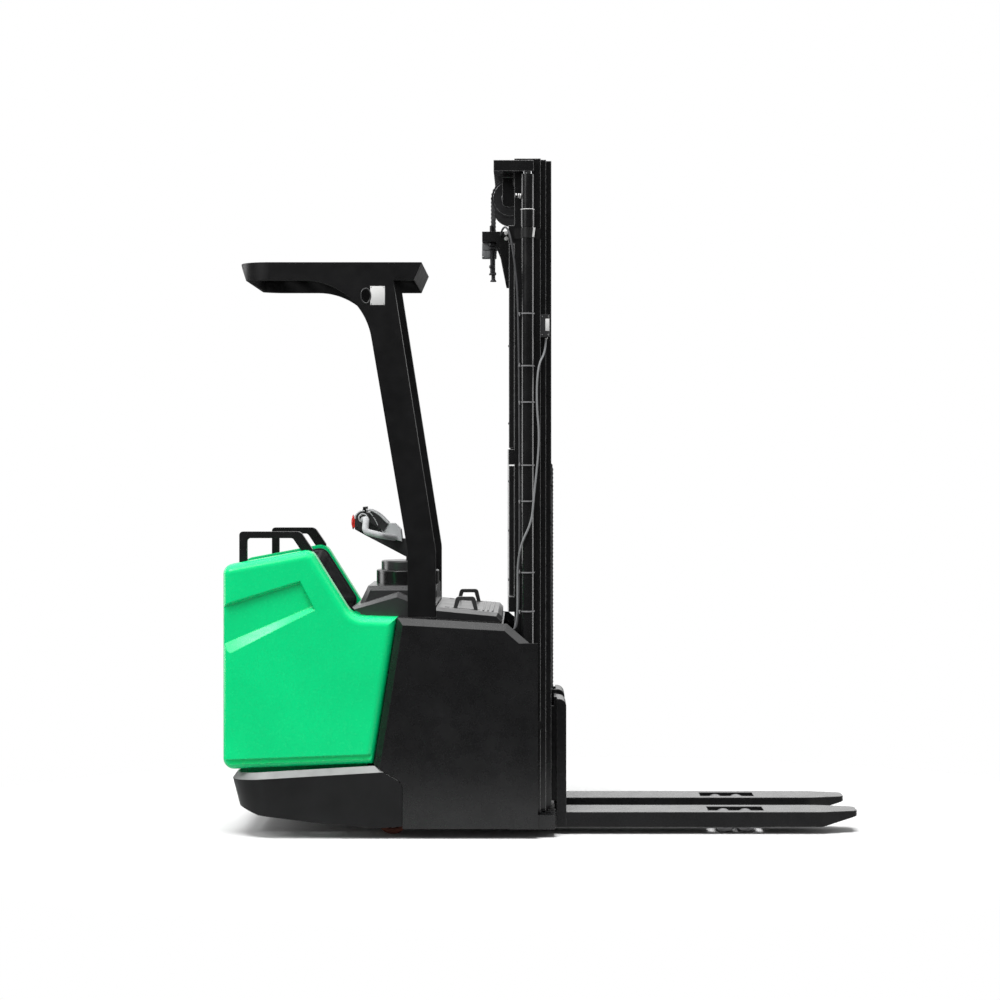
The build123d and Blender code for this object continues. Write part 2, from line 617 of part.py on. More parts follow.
def chain_anchors():
    """Brackets on the outer mast that hold the fixed ends of the main chains."""
    y0, y1 = -SHEAVE_Y - ANCHOR_HALF_WIDTH, -SHEAVE_Y + ANCHOR_HALF_WIDTH
    bolt_x = SHEAVE_X - MAIN_CHAIN_R
    rear_x = RAIL_REAR_X - OUTER_CROSS_THICK
    plate = block(ANCHOR_PLATE_X, rear_x, y0, y1, *ANCHOR_PLATE_Z)
    gusset_points = [(ANCHOR_GUSSET_X - CROSS_PLATE, ANCHOR_PLATE_Z[0]), (rear_x, ANCHOR_PLATE_Z[0]),
                     (rear_x, ANCHOR_GUSSET_FOOT_Z), (rear_x - CROSS_PLATE, ANCHOR_GUSSET_FOOT_Z),
                     (ANCHOR_GUSSET_X, ANCHOR_PLATE_Z[0] - ANCHOR_HALF_WIDTH)]
    gusset = prism_xz(gusset_points, y0, y0 + CROSS_PLATE)
    twin = prism_xz(gusset_points, y1 - CROSS_PLATE, y1)
    bolt = post(bolt_x, -SHEAVE_Y, ANCHOR_BOLT_Z, ANCHOR_PLATE_Z[0], ANCHOR_BOLT_R)
    nut = post(bolt_x, -SHEAVE_Y, ANCHOR_PLATE_Z[0] - CROSS_PLATE, ANCHOR_PLATE_Z[0], CLEVIS_R + ROLLER_GAP)
    clevis = post(bolt_x, -SHEAVE_Y, ANCHOR_PLATE_Z[1], ANCHOR_CLEVIS_TOP_Z, CLEVIS_R)
    return both(joined(plate, gusset, twin, bolt, nut, clevis))


def lift_cylinders():
    barrel = post(CYLINDER_X, -CYLINDER_Y, CYLINDER_FOOT_Z, CYLINDER_TOP_Z, CYLINDER_R)
    gland = post(CYLINDER_X, -CYLINDER_Y, *GLAND_Z, GLAND_R)
    bleed_length = CYLINDER_X - BLEED_TIP_X
    bleed = Pos(CYLINDER_X - bleed_length / 2, -CYLINDER_Y, BLEED_Z) * Rot(0, 90, 0)
    bleed = bleed * Cylinder(BLEED_R, bleed_length)
    bore = post(CYLINDER_X, -CYLINDER_Y, CYLINDER_FOOT_Z + CYLINDER_BOTTOM_WALL, CYLINDER_TOP_Z,
                ROD_R + RUN_FIT)
    return both(joined(barrel, gland, bleed) - bore)


def lift_rods():
    foot = CYLINDER_FOOT_Z + CYLINDER_BOTTOM_WALL + ROD_END_GAP
    return both(post(CYLINDER_X, -CYLINDER_Y, foot, HEAD_Z[0], ROD_R))


def inner_mast():
    inside = rail_face(2) - RAIL_WEB
    x0, x1, z0, z1 = INNER_TOP_CROSS
    top = block(x0, x1, -inside, inside, z0, z1)
    foot = block(INNER_FOOT_REAR_X, rail_rear(2) + RAIL_WIDTH - RAIL_FLANGE, -inside, inside,
                 MAST_BASE_Z, INNER_FOOT_TOP_Z)
    return joined(*both(rail(2)), top, foot, *roller_pins(channel_x(1), MAST_ROLLER_Z, rail_face(2)))


def free_lift_cylinder():
    barrel = post(FREE_X, 0, INNER_FOOT_TOP_Z, FREE_BARREL_TOP_Z, FREE_BARREL_R)
    half = FREE_SHEAVE_Y + SHEAVE_HALF
    bracket = block(*FREE_BRACKET_X, -half, half, *FREE_ANCHOR_Z)
    collar = post(FREE_X, 0, *FREE_ANCHOR_Z, FREE_COLLAR_R - CROSS_PLATE / 2)
    bore = post(FREE_X, 0, FREE_ROD_FOOT_Z - ROD_END_GAP, FREE_BARREL_TOP_Z, FREE_ROD_R + RUN_FIT)
    return joined(barrel, bracket, collar) - bore


def free_lift_rod():
    rod = post(FREE_X, 0, FREE_ROD_FOOT_Z, FREE_HEAD_Z[0], FREE_ROD_R)
    half = FREE_SHEAVE_Y - SHEAVE_HALF - CHEEK_SIDE_GAP
    points = [(FREE_X - FREE_HEAD_X_HALF, FREE_HEAD_Z[0]), (FREE_X + FREE_HEAD_X_HALF, FREE_HEAD_Z[0]),
              (FREE_X + FREE_HEAD_X_HALF, FREE_HEAD_Z[1]), (FREE_X - FREE_HEAD_X_HALF, FREE_HEAD_Z[1])]
    head = prism_xz(points, -half, half, {2: FREE_HEAD_X_HALF / 2, 3: FREE_HEAD_X_HALF / 2})
    tip = FREE_SHEAVE_Y + SHEAVE_HALF + PIN_END
    return joined(rod, head, cross_pin(FREE_X, FREE_SHEAVE_Z, -tip, tip, SHEAVE_PIN_R))


def free_lift_sheaves():
    return both(sheave(FREE_X, -FREE_SHEAVE_Y, FREE_SHEAVE_Z, FREE_ROOT_R, FREE_FLANGE_R))


def free_chain_rear():
    return both(chain_run(FREE_X - FREE_CHAIN_R, -FREE_SHEAVE_Y, FREE_ANCHOR_Z[1], FREE_SHEAVE_Z))


def free_chain_front():
    run = chain_run(FREE_X + FREE_CHAIN_R, -FREE_SHEAVE_Y, CARRIAGE_LUG_Z[1], FREE_SHEAVE_Z)
    return both(joined(run, chain_wrap(FREE_X, -FREE_SHEAVE_Y, FREE_SHEAVE_Z, FREE_CHAIN_R)))


# Carriage, forks and legs

def carriage():
    """Roller plates, cross plates and the two upright fork shanks."""
    plate = block(CARRIAGE_PLATE_REAR_X, SHANK_X[0], -CARRIAGE_FACE_Y,
                  CARRIAGE_PLATE_THICK - CARRIAGE_FACE_Y, *CARRIAGE_PLATE_Z)
    crosses = [block(CARRIAGE_CROSS_X, SHANK_X[0], -CARRIAGE_FACE_Y, CARRIAGE_FACE_Y, low, high)
               for low, high in CARRIAGE_CROSS_Z]
    pins = [pin for z in CARRIAGE_ROLLER_Z for pin in roller_pins(channel_x(2), z, CARRIAGE_FACE_Y)]
    y0, y1 = -FORK_CENTRE_Y - FORK_WIDTH / 2, -FORK_CENTRE_Y + FORK_WIDTH / 2
    shank_points = [(SHANK_X[0], FORK_SKIRT_Z), (SHANK_X[1], FORK_SKIRT_Z), (SHANK_X[1], SHANK_TOP_Z),
                    (SHANK_X[0], SHANK_TOP_Z)]
    shank = prism_xz(shank_points, y0, y1, {2: SHANK_TOP_ROUND})
    tunnel = block(*SHANK_X, y0 + FORK_SKIRT, y1 - FORK_SKIRT, FORK_SKIRT_Z, FORK_TOP_Z)
    lug = block(FREE_X + FREE_CHAIN_R - CHAIN_THICK / 2, SHANK_X[0], -FREE_SHEAVE_Y - CHAIN_WIDTH / 2,
                -FREE_SHEAVE_Y + CHAIN_WIDTH / 2, *CARRIAGE_LUG_Z)
    return joined(*both(plate), *crosses, *pins, *both(shank - tunnel), *both(lug))


def forks():
    """Two fork-over channels with a tapered toe and an opening above the load rollers."""
    half, tip = FORK_WIDTH / 2, FORK_TIP_WIDTH / 2
    plan = [(SHANK_X[1], -half), (FORK_TAPER_X, -half), (FORK_TIP_X, -tip), (FORK_TIP_X, tip),
            (FORK_TAPER_X, half), (SHANK_X[1], half)]
    blade = prism_xy(plan, FORK_SKIRT_Z, FORK_TOP_Z, {1: FORK_WIDTH, 2: tip / 2, 3: tip / 2, 4: FORK_WIDTH})
    side_cut = prism_xz([(FORK_TAPER_X, FORK_SKIRT_Z), (FORK_TIP_X, FORK_TIP_Z), (FORK_TIP_X, FORK_SKIRT_Z)],
                        -half, half)
    inner = half - FORK_SKIRT
    cavity = block(SHANK_X[1], FORK_CAVITY_END_X - inner, -inner, inner, FORK_SKIRT_Z,
                   FORK_TOP_Z - FORK_TOP_THICK)
    slot = block(*FORK_SLOT_X, -FORK_SLOT_WIDTH / 2, FORK_SLOT_WIDTH / 2, FORK_SKIRT_Z, FORK_TOP_Z)
    return both(Pos(0, -FORK_CENTRE_Y, 0) * (blade - side_cut - cavity - slot))


def support_legs():
    """Cross beam and two legs that run inside the forks, slotted for the bogies."""
    beam = block(*LEG_BEAM_X, -LEG_BEAM_HALF, LEG_BEAM_HALF, *LEG_BEAM_Z)
    y0, y1 = -FORK_CENTRE_Y - LEG_WIDTH / 2, -FORK_CENTRE_Y + LEG_WIDTH / 2
    leg = block(LEG_BEAM_X[1], LEG_END_X, y0, y1, *LEG_Z)
    slot = block(*LEG_SLOT_X, -FORK_CENTRE_Y - LEG_SLOT_HALF, -FORK_CENTRE_Y + LEG_SLOT_HALF, *LEG_Z)
    stub = BOGIE_PLATE + BOGIE_SIDE_GAP
    stubs = [cross_pin(BOGIE_X, LOAD_ROLLER_R, -FORK_CENTRE_Y + side * LEG_SLOT_HALF,
                       -FORK_CENTRE_Y + side * (LEG_SLOT_HALF - stub), BOGIE_PIN_R) for side in (-1, 1)]
    pads = post(CYLINDER_X, -CYLINDER_Y, LEG_BEAM_Z[1], CYLINDER_FOOT_Z, CYLINDER_R)
    return joined(beam, *both(joined(leg - slot, *stubs)), *both(pads))


def bogie():
    """Right-hand rocker: two side plates and the pins of its rollers."""
    reach = LOAD_ROLLER_SPACING / 2
    parts = []
    for side in (-1, 1):
        outer = -FORK_CENTRE_Y + side * (LEG_SLOT_HALF - BOGIE_SIDE_GAP)
        inner = outer - side * BOGIE_PLATE
        y0, y1 = min(outer, inner), max(outer, inner)
        points = [(BOGIE_X - reach - BOGIE_END_R, LOAD_ROLLER_R - BOGIE_END_R),
                  (BOGIE_X + reach + BOGIE_END_R, LOAD_ROLLER_R - BOGIE_END_R),
                  (BOGIE_X + reach + BOGIE_END_R, LOAD_ROLLER_R + BOGIE_END_R),
                  (BOGIE_X - reach - BOGIE_END_R, LOAD_ROLLER_R + BOGIE_END_R)]
        plate = prism_xz(points, y0, y1, {index: BOGIE_END_R * 0.9 for index in range(4)})
        parts.append(plate - cross_pin(BOGIE_X, LOAD_ROLLER_R, y0, y1, BOGIE_PIN_R + RUN_FIT))
    span = LEG_SLOT_HALF - BOGIE_SIDE_GAP
    for end in (-1, 1):
        parts.append(cross_pin(BOGIE_X + end * reach, LOAD_ROLLER_R, -FORK_CENTRE_Y - span,
                               -FORK_CENTRE_Y + span, LOAD_PIN_R))
    return joined(*parts)


def load_roller(end):
    """Right-hand load roller; end is -1 for the rear one of the pair and 1 for the front one."""
    x = BOGIE_X + end * LOAD_ROLLER_SPACING / 2
    y0, y1 = -FORK_CENTRE_Y - LOAD_ROLLER_WIDTH / 2, -FORK_CENTRE_Y + LOAD_ROLLER_WIDTH / 2
    wheel = cross_pin(x, LOAD_ROLLER_R, y0, y1, LOAD_ROLLER_R)
    return wheel - cross_pin(x, LOAD_ROLLER_R, y0, y1, LOAD_PIN_R + RUN_FIT)


# Chassis weldment and what it carries

def lid_line(x, heights):
    """Height on a line that falls towards the mast along the battery cover."""
    share = (x - LID_X[0]) / (LID_X[1] - LID_X[0])
    return heights[0] + share * (heights[1] - heights[0])


def stepped_deck(front_x, z0, z1):
    """Plate that is narrow between the side covers and wide ahead of them."""
    neck_x = COVER_FRONT_TOP[0] + SKIN_GAP
    wide = SIDE_PANEL_INNER_Y - SIDE_PLATE
    half = [(FRONT_WALL_X[0], FLOOR_HALF), (neck_x, FLOOR_HALF), (neck_x, wide), (front_x, wide)]
    points = half + [(x, -y) for x, y in reversed(half)]
    return prism_xy(points, z0, z1)


def chassis_frame():
    inside = SIDE_PANEL_INNER_Y - SIDE_PLATE
    neck_x = COVER_FRONT_TOP[0] + SKIN_GAP
    side = prism_xz([(neck_x, BULKHEAD_Z[0]), (BULKHEAD_X[1], BULKHEAD_Z[0]), (BULKHEAD_X[1], BULKHEAD_Z[1]),
                     (neck_x, DECK_Z[1])], -SIDE_PANEL_INNER_Y, -inside)
    ledge = prism_xz([(x, lid_line(x, LID_FOOT_Z) - drop) for x, drop in (
        (LID_X[0], 0), (BULKHEAD_X[0], 0), (BULKHEAD_X[0], SIDE_PLATE), (LID_X[0], SIDE_PLATE))],
        -inside, LEDGE_DEPTH - inside)
    bulkhead = block(*BULKHEAD_X, -inside, inside, *BULKHEAD_Z)
    beam_link = block(BULKHEAD_X[1], LEG_BEAM_X[0], -RAIL_FACE_Y, RAIL_FACE_Y, BULKHEAD_Z[0], LEG_BEAM_Z[1])
    mid_wall = block(*MID_WALL_X, -inside, inside, CASTER_SHELF_Z[0], DECK_Z[0])
    battery_floor = block(MID_WALL_X[1], BULKHEAD_X[0], -inside, inside, *BATTERY_FLOOR_Z)
    drive_plate = stepped_deck(MID_WALL_X[0], *DRIVE_PLATE_Z)
    drive_plate -= post(STEER_X, 0, *DRIVE_PLATE_Z, DRIVE_MOTOR_R + DRIVE_HOLE_GAP)
    deck = stepped_deck(MID_WALL_X[0], *DECK_Z)
    deck_seat = block(MID_WALL_X[0] - SIDE_PLATE, MID_WALL_X[0], -inside, inside,
                      DECK_Z[0] - SIDE_PLATE, DECK_Z[0])
    wall = block(*FRONT_WALL_X, -FLOOR_HALF, FLOOR_HALF, FLOOR_BEAM_Z[0], DECK_Z[0])
    shelf = block(FRONT_WALL_X[0], MID_WALL_X[0], -inside, -CASTER_SHELF_Y0, *CASTER_SHELF_Z)
    shelf -= post(CASTER_X, -CASTER_Y, *CASTER_SHELF_Z, CASTER_STEM_R + RUN_FIT)
    floor_beam = block(FLOOR_REAR_X, FRONT_WALL_X[0], -FLOOR_BEAM_Y[1], -FLOOR_BEAM_Y[0], *FLOOR_BEAM_Z)
    rear_bar = block(FLOOR_REAR_X, FLOOR_REAR_X + REAR_BAR, -FLOOR_HALF, FLOOR_HALF, *FLOOR_BEAM_Z)
    outriggers = [block(x0, x1, BUMPER_WALL - HALF_WIDTH, -FLOOR_BEAM_Y[1], OUTRIGGER_Z, FLOOR_BEAM_Z[1])
                  for x0, x1 in OUTRIGGER_X]
    mast_blocks = [block(BULKHEAD_X[1], RAIL_REAR_X, -MAST_BLOCK_Y[1], -MAST_BLOCK_Y[0], z0, z1)
                   for z0, z1 in MAST_BLOCK_Z]
    sided = [side, ledge, shelf, floor_beam, *outriggers, *mast_blocks]
    paired = [item for shape in sided for item in both(shape)]
    return joined(bulkhead, beam_link, mid_wall, battery_floor, drive_plate, deck, deck_seat, wall, rear_bar,
                  *paired)


def side_panel_outline():
    return [(COVER_FRONT_TOP[0] + SKIN_GAP, COVER_FRONT_TOP[1]), PANEL_TOP_FRONT, PANEL_STEP,
            (PANEL_FRONT_X, PANEL_STEP[1]), (PANEL_FRONT_X, CHASSIS_FLOOR_Z),
            (BUMPER_FRONT_X + SKIN_GAP, CHASSIS_FLOOR_Z), (BUMPER_FRONT_X + SKIN_GAP, BUMPER_NOSE_Z),
            (BUMPER_SHOULDER[0] + SKIN_GAP, BUMPER_SHOULDER[1] + SKIN_GAP),
            (COVER_FRONT_FOOT_X + SKIN_GAP, COVER_FRONT_FOOT_Z)]


def side_panels():
    """Black side panels with a bevel along the top and along the green cover."""
    points = side_panel_outline()
    slab = prism_xz(points, -HALF_WIDTH, -SIDE_PANEL_INNER_Y)
    bevelled = [((points[a][0] + points[b][0]) / 2, (points[a][1] + points[b][1]) / 2)
                for a, b in ((0, 1), (8, 0), (1, 2))]
    edges = [slab.edges().sort_by_distance((x, -HALF_WIDTH, z))[0] for x, z in bevelled]
    slab = chamfer(edges, PANEL_BEVEL)
    plane = Plane(origin=(0, -SIDE_PANEL_INNER_Y, 0), x_dir=(1, 0, 0), z_dir=(0, -1, 0))
    pocket = offset(outline(points), amount=-PANEL_RIM, kind=Kind.INTERSECTION)
    depth = HALF_WIDTH - SIDE_PANEL_INNER_Y - PANEL_SKIN
    return both(slab - extrude(plane * pocket, amount=depth, dir=(0, -1, 0)))


def bumper_plan(rear_x, inset):
    """Plan of the bumper, open ahead, set in from its outer face."""
    half = HALF_WIDTH - inset
    corner = BUMPER_CORNER_R - inset
    points = [(BUMPER_FRONT_X + inset, -half), (BUMPER_FRONT_X + inset, half), (rear_x + inset, half),
              (rear_x + inset, -half)]
    return outline(points, {2: corner, 3: corner})


def bumper_core(inset):
    """Block that leans in towards the floor at the rear."""
    low = Pos(0, 0, BUMPER_Z[0]) * bumper_plan(BUMPER_FOOT_REAR_X, inset)
    high = Pos(0, 0, BUMPER_Z[1]) * bumper_plan(BUMPER_TOP_REAR_X, inset)
    return loft([low, high], ruled=True)


def rear_bumper():
    profile = [*BUMPER_TOP_LINE, BUMPER_SHOULDER, (BUMPER_FRONT_X, BUMPER_NOSE_Z), *BUMPER_FOOT_LINE]
    skirt = bumper_core(0) & prism_xz(profile, -HALF_WIDTH, HALF_WIDTH)
    skirt -= bumper_core(BUMPER_WALL)
    middle = bumper_core(BUMPER_WALL / 2)
    top = skirt.faces().filter_by(lambda face: face.normal_at().Z > 0.9)
    rim = [edge for face in top for edge in face.edges()
           if not middle.is_inside(edge @ 0.5) and (edge @ 0.5).X < BUMPER_TOP_LINE[1][0] - 1]
    return chamfer(rim, BUMPER_BEVEL)


def mat_pins():
    """Places of the guide pins under the platform mat."""
    x0, x1 = FLOOR_REAR_X + 3 * MAT_MARGIN, FRONT_WALL_X[0] - 3 * MAT_MARGIN
    y = FLOOR_BEAM_Y[0] - 3 * MAT_MARGIN
    return [(x, side * y) for x in (x0, x1) for side in (-1, 1)]


def platform_floor():
    plate = block(FLOOR_REAR_X, FRONT_WALL_X[0], -FLOOR_HALF, FLOOR_HALF, FLOOR_BEAM_Z[1], FLOOR_TOP_Z)
    holes = [post(x, y, FLOOR_BEAM_Z[1], FLOOR_TOP_Z, MAT_PIN_R + RUN_FIT) for x, y in mat_pins()]
    return plate.cut(*holes)


def floor_mat():
    """Sprung presence mat with ribs across it."""
    z0 = FLOOR_TOP_Z + MAT_GAP
    x0, x1 = FLOOR_REAR_X + MAT_MARGIN, FRONT_WALL_X[0] - MAT_MARGIN
    half = FLOOR_HALF - MAT_MARGIN
    slab = block(x0, x1, -half, half, z0, z0 + MAT_THICK)
    count = int((x1 - x0) / MAT_RIB_PITCH)
    grooves = [block(x, x + MAT_GROOVE, -half, half, z0 + MAT_THICK - MAT_GROOVE / 2, z0 + MAT_THICK)
               for x in (x0 + (index + 0.5) * MAT_RIB_PITCH for index in range(count))]
    pins = [post(x, y, z0 - MAT_PIN_LENGTH, z0, MAT_PIN_R) for x, y in mat_pins()]
    return joined(slab.cut(*grooves), *pins)


def cover_outline():
    """Side view of a green cover, from its rear foot round over the crest to its front foot."""
    return [(REAR_X, COVER_FOOT_Z), (REAR_X, COVER_REAR_TOP_Z), COVER_CREST, COVER_DIP, COVER_FRONT_TOP,
            (COVER_FRONT_FOOT_X, COVER_FRONT_FOOT_Z)]


COVER_ROUNDS = {0: COVER_CORNER_R, 1: COVER_TOP_R, 2: COVER_CREST_R, 3: COVER_DIP_R}


def cover_form():
    """Outer form of the right-hand cover with its rolled edge."""
    body = prism_xz(cover_outline(), -COVER_Y[1], -COVER_Y[0], COVER_ROUNDS)
    outer = [edge for edge in body.faces().sort_by(Axis.Y)[0].edges()
             if (edge @ 0.5).Z > COVER_FRONT_FOOT_Z + COVER_CORNER_R]
    return fillet(outer, COVER_EDGE_R)


def cover(body):
    """Right-hand moulded cover, hollowed from below, with a swept recess and a lip at its foot."""
    mouth = [Vector(x, -COVER_Y[1], z) for x, z in RECESS_MOUTH]
    floor = [Vector(x, COVER_RECESS_DEPTH - COVER_Y[1], z) for x, z in RECESS_FLOOR]
    faces = [make_face(Polyline(*ring, close=True)) for ring in (mouth, floor)]
    body -= loft(faces, ruled=True)
    lip = prism_xz([(REAR_X, COVER_FOOT_Z + COVER_LIP_Z), (COVER_FRONT_FOOT_X, COVER_FRONT_FOOT_Z + COVER_LIP_Z),
                    (COVER_FRONT_FOOT_X, COVER_FRONT_FOOT_Z + 2 * COVER_LIP_Z),
                    (REAR_X, COVER_FOOT_Z + 2 * COVER_LIP_Z)], -COVER_Y[1], COVER_LIP_DEPTH - COVER_Y[1])
    flange_y = -COVER_Y[0] - COVER_FLANGE
    flange = prism_xz([(FLOOR_REAR_X, FLOOR_BEAM_Z[1]), (FRONT_WALL_X[0], FLOOR_BEAM_Z[1]),
                       (FRONT_WALL_X[0], COVER_FRONT_FOOT_Z), (FLOOR_REAR_X, COVER_FRONT_FOOT_Z)],
                      flange_y, -COVER_Y[0])
    inside = offset(outline(cover_outline(), COVER_ROUNDS), amount=-COVER_WALL)
    hollow = extrude(Plane.XZ.offset(-flange_y) * inside, amount=flange_y + COVER_Y[1] - COVER_WALL)
    mouth_x = (REAR_X + COVER_WALL + COVER_CORNER_R, COVER_FRONT_FOOT_X - COVER_WALL - COVER_CORNER_R)
    hollow += block(*mouth_x, COVER_WALL - COVER_Y[1], flange_y, COVER_FOOT_Z, COVER_FRONT_FOOT_Z + 2 * COVER_WALL)
    return joined(body - lip - hollow, flange)


def side_pads():
    """Padded panels on the inner faces of the covers."""
    pad = prism_xz(PAD_OUTLINE, -COVER_Y[0], PAD_THICK - COVER_Y[0],
                   {index: PAD_CORNER_R for index in range(len(PAD_OUTLINE))})
    return both(fillet(pad.faces().sort_by(Axis.Y)[-1].edges(), PAD_CROWN))


def grab_rail(rear_x, cover_block):
    """Right-hand rail: a rear post and a raked front leg that stand on the crest of the cover."""
    slope = (HANDLE_FRONT_X - HANDLE_BEND_X) / (HANDLE_TOP_Z - COVER_CREST[1])
    drop = HANDLE_TOP_Z - COVER_REAR_TOP_Z
    leg = HANDLE_LEG * math.hypot(1, slope)
    frame_points = [(rear_x, COVER_REAR_TOP_Z), (rear_x, HANDLE_TOP_Z), (HANDLE_BEND_X, HANDLE_TOP_Z),
                    (HANDLE_FRONT_X, COVER_CREST[1]), (HANDLE_FRONT_X, COVER_REAR_TOP_Z)]
    rail_bar = prism_xz(frame_points, -HANDLE_Y[1], -HANDLE_Y[0], {1: HANDLE_ROUND, 2: 2 * HANDLE_ROUND})
    under = HANDLE_TOP_Z - HANDLE_BAR
    gap = prism_xz([(rear_x + HANDLE_POST, COVER_REAR_TOP_Z), (rear_x + HANDLE_POST, under),
                    (HANDLE_BEND_X - leg + slope * HANDLE_BAR, under),
                    (HANDLE_BEND_X - leg + slope * drop, COVER_REAR_TOP_Z)],
                   -HANDLE_Y[1], -HANDLE_Y[0], {1: HANDLE_ROUND, 2: HANDLE_ROUND})
    return rail_bar - gap - cover_block


def grab_handles(cover_block):
    """Both rails; the left one starts further forward."""
    return [grab_rail(HANDLE_REAR_X["right"], cover_block),
            other_side(grab_rail(HANDLE_REAR_X["left"], cover_block))]


def guard_profile():
    return [(GUARD_REAR_TOP_X, GUARD_TOP_Z), (GUARD_FRONT_TOP_X, GUARD_TOP_Z), (GUARD_FRONT_FOOT_X, GUARD_ARM_Z),
            (GUARD_POST_TOP_X, GUARD_ARM_Z), (GUARD_POST_FRONT_X, GUARD_KNEE_Z), (GUARD_POST_FRONT_X, DECK_Z[1]),
            (GUARD_POST_FRONT_X - GUARD_POST_WIDTH, DECK_Z[1]),
            (GUARD_POST_FRONT_X - GUARD_POST_WIDTH, GUARD_KNEE_Z),
            (GUARD_POST_TOP_X - GUARD_POST_TOP_WIDTH, GUARD_ARM_Z), (GUARD_REAR_FOOT_X, GUARD_ARM_Z)]


def guard_plan(inset):
    half, corner = GUARD_Y[1] - inset, GUARD_CORNER_R - inset
    points = [(GUARD_POST_FRONT_X, -half), (GUARD_POST_FRONT_X, half), (GUARD_REAR_TOP_X + inset, half),
              (GUARD_REAR_TOP_X + inset, -half)]
    return points, {2: corner, 3: corner}


def overhead_guard():
    """Welded guard: two posts that sweep into a rim, a barred roof and lifting eyes."""
    wall = GUARD_Y[1] - GUARD_Y[0]
    plan, rounds = guard_plan(0)
    rounds_side = {4: GUARD_KNEE_R, 7: GUARD_KNEE_R, 8: GUARD_ARM_R}
    guard = prism_xy(plan, DECK_Z[1], GUARD_TOP_Z, rounds)
    guard = guard & prism_xz(guard_profile(), -GUARD_Y[1], GUARD_Y[1], rounds_side)
    guard -= block(GUARD_REAR_TOP_X, GUARD_POST_FRONT_X, -GUARD_Y[0], GUARD_Y[0], DECK_Z[1], GUARD_ARM_Z)
    hollow, inner_rounds = guard_plan(wall)
    hollow = [(min(x, GUARD_FRONT_FOOT_X), y) for x, y in hollow]
    guard -= prism_xy(hollow, GUARD_ARM_Z, GUARD_TOP_Z - GUARD_ROOF, inner_rounds)
    first = (GUARD_REAR_FOOT_X + GUARD_FRONT_FOOT_X - (GUARD_SLOTS - 1) * GUARD_BAR_PITCH) / 2
    slots = [Pos(first + index * GUARD_BAR_PITCH, 0, GUARD_TOP_Z) * slot_cut() for index in range(GUARD_SLOTS)]
    guard = guard.cut(*slots)
    eye = SlotOverall(GUARD_EYE_SIZE[1], GUARD_EYE_SIZE[0], rotation=90)
    plane = Plane(origin=(GUARD_EYE[0], GUARD_Y[1], GUARD_EYE[1]), x_dir=(1, 0, 0), z_dir=(0, -1, 0))
    return guard - extrude(plane * eye, amount=2 * GUARD_Y[1], dir=(0, -1, 0))


def slot_cut():
    """One opening between the bars of the guard roof."""
    length = 2 * (GUARD_Y[0] - GUARD_SLOT_WIDTH / 2)
    return extrude(SlotOverall(length, GUARD_SLOT_WIDTH, rotation=90), amount=2 * GUARD_ROOF, both=True)


# Console, turret and tiller

def bevelled_xz(points, side_points, half):
    """Prism along Y on a side view, whose ends run out to a smaller side view over the bevel."""
    strip = loft([make_face(Polyline(*[Vector(x, y, z) for x, z in ring], close=True))
                  for ring, y in ((points, CONSOLE_BEVEL - half), (side_points, -half))], ruled=True)
    return joined(prism_xz(points, CONSOLE_BEVEL - half, half - CONSOLE_BEVEL), *both(strip))


def console():
    """Moulded console: a raised middle and two lower wings, with seats for the switches."""
    wings = bevelled_xz(WING_OUTLINE, WING_SIDE, CONSOLE_WING_HALF)
    middle = bevelled_xz(MIDDLE_OUTLINE, MIDDLE_SIDE, CONSOLE_HALF)
    seats = [post(SWITCH_X, SWITCH_Y, SWITCH_SEAT_Z, CONSOLE_TOP_Z, STOP_STEM_R + RUN_FIT),
             post(SWITCH_X, -SWITCH_Y, SWITCH_SEAT_Z, CONSOLE_TOP_Z, KEY_BARREL_R + RUN_FIT)]
    return joined(wings, middle).cut(*seats)


def emergency_stop():
    """Mushroom push button with a stem that sinks into the console."""
    z0 = CONSOLE_TOP_Z + STOP_TRAVEL + TURRET_GAP
    stem = post(SWITCH_X, SWITCH_Y, SWITCH_SEAT_Z + 2 * STOP_TRAVEL, z0, STOP_STEM_R)
    head = post(SWITCH_X, SWITCH_Y, z0, z0 + STOP_HEAD, STOP_HEAD_R)
    return joined(stem, fillet(head.edges().group_by(Axis.Z)[-1], STOP_HEAD / 3))


def key_switch():
    """Turning barrel with its key."""
    top = CONSOLE_TOP_Z + KEY_COLLAR
    barrel = post(SWITCH_X, -SWITCH_Y, SWITCH_SEAT_Z + TURRET_GAP, top, KEY_BARREL_R)
    bow = block(SWITCH_X - KEY_BOW / 2, SWITCH_X + KEY_BOW / 2, -SWITCH_Y - KEY_THICK / 2,
                -SWITCH_Y + KEY_THICK / 2, top, top + KEY_BOW)
    return joined(barrel, bow)


def turret_base():
    drum = post(STEER_X, 0, CONSOLE_TOP_Z, TURRET_BASE_TOP_Z, TURRET_BASE_R)
    drum = fillet(drum.edges().group_by(Axis.Z)[-1], TURRET_ROUND)
    return drum - post(STEER_X, 0, TURRET_BASE_TOP_Z - TILLER_SHAFT_LENGTH - TURRET_GAP, TURRET_BASE_TOP_Z,
                       TILLER_SHAFT_R + RUN_FIT)


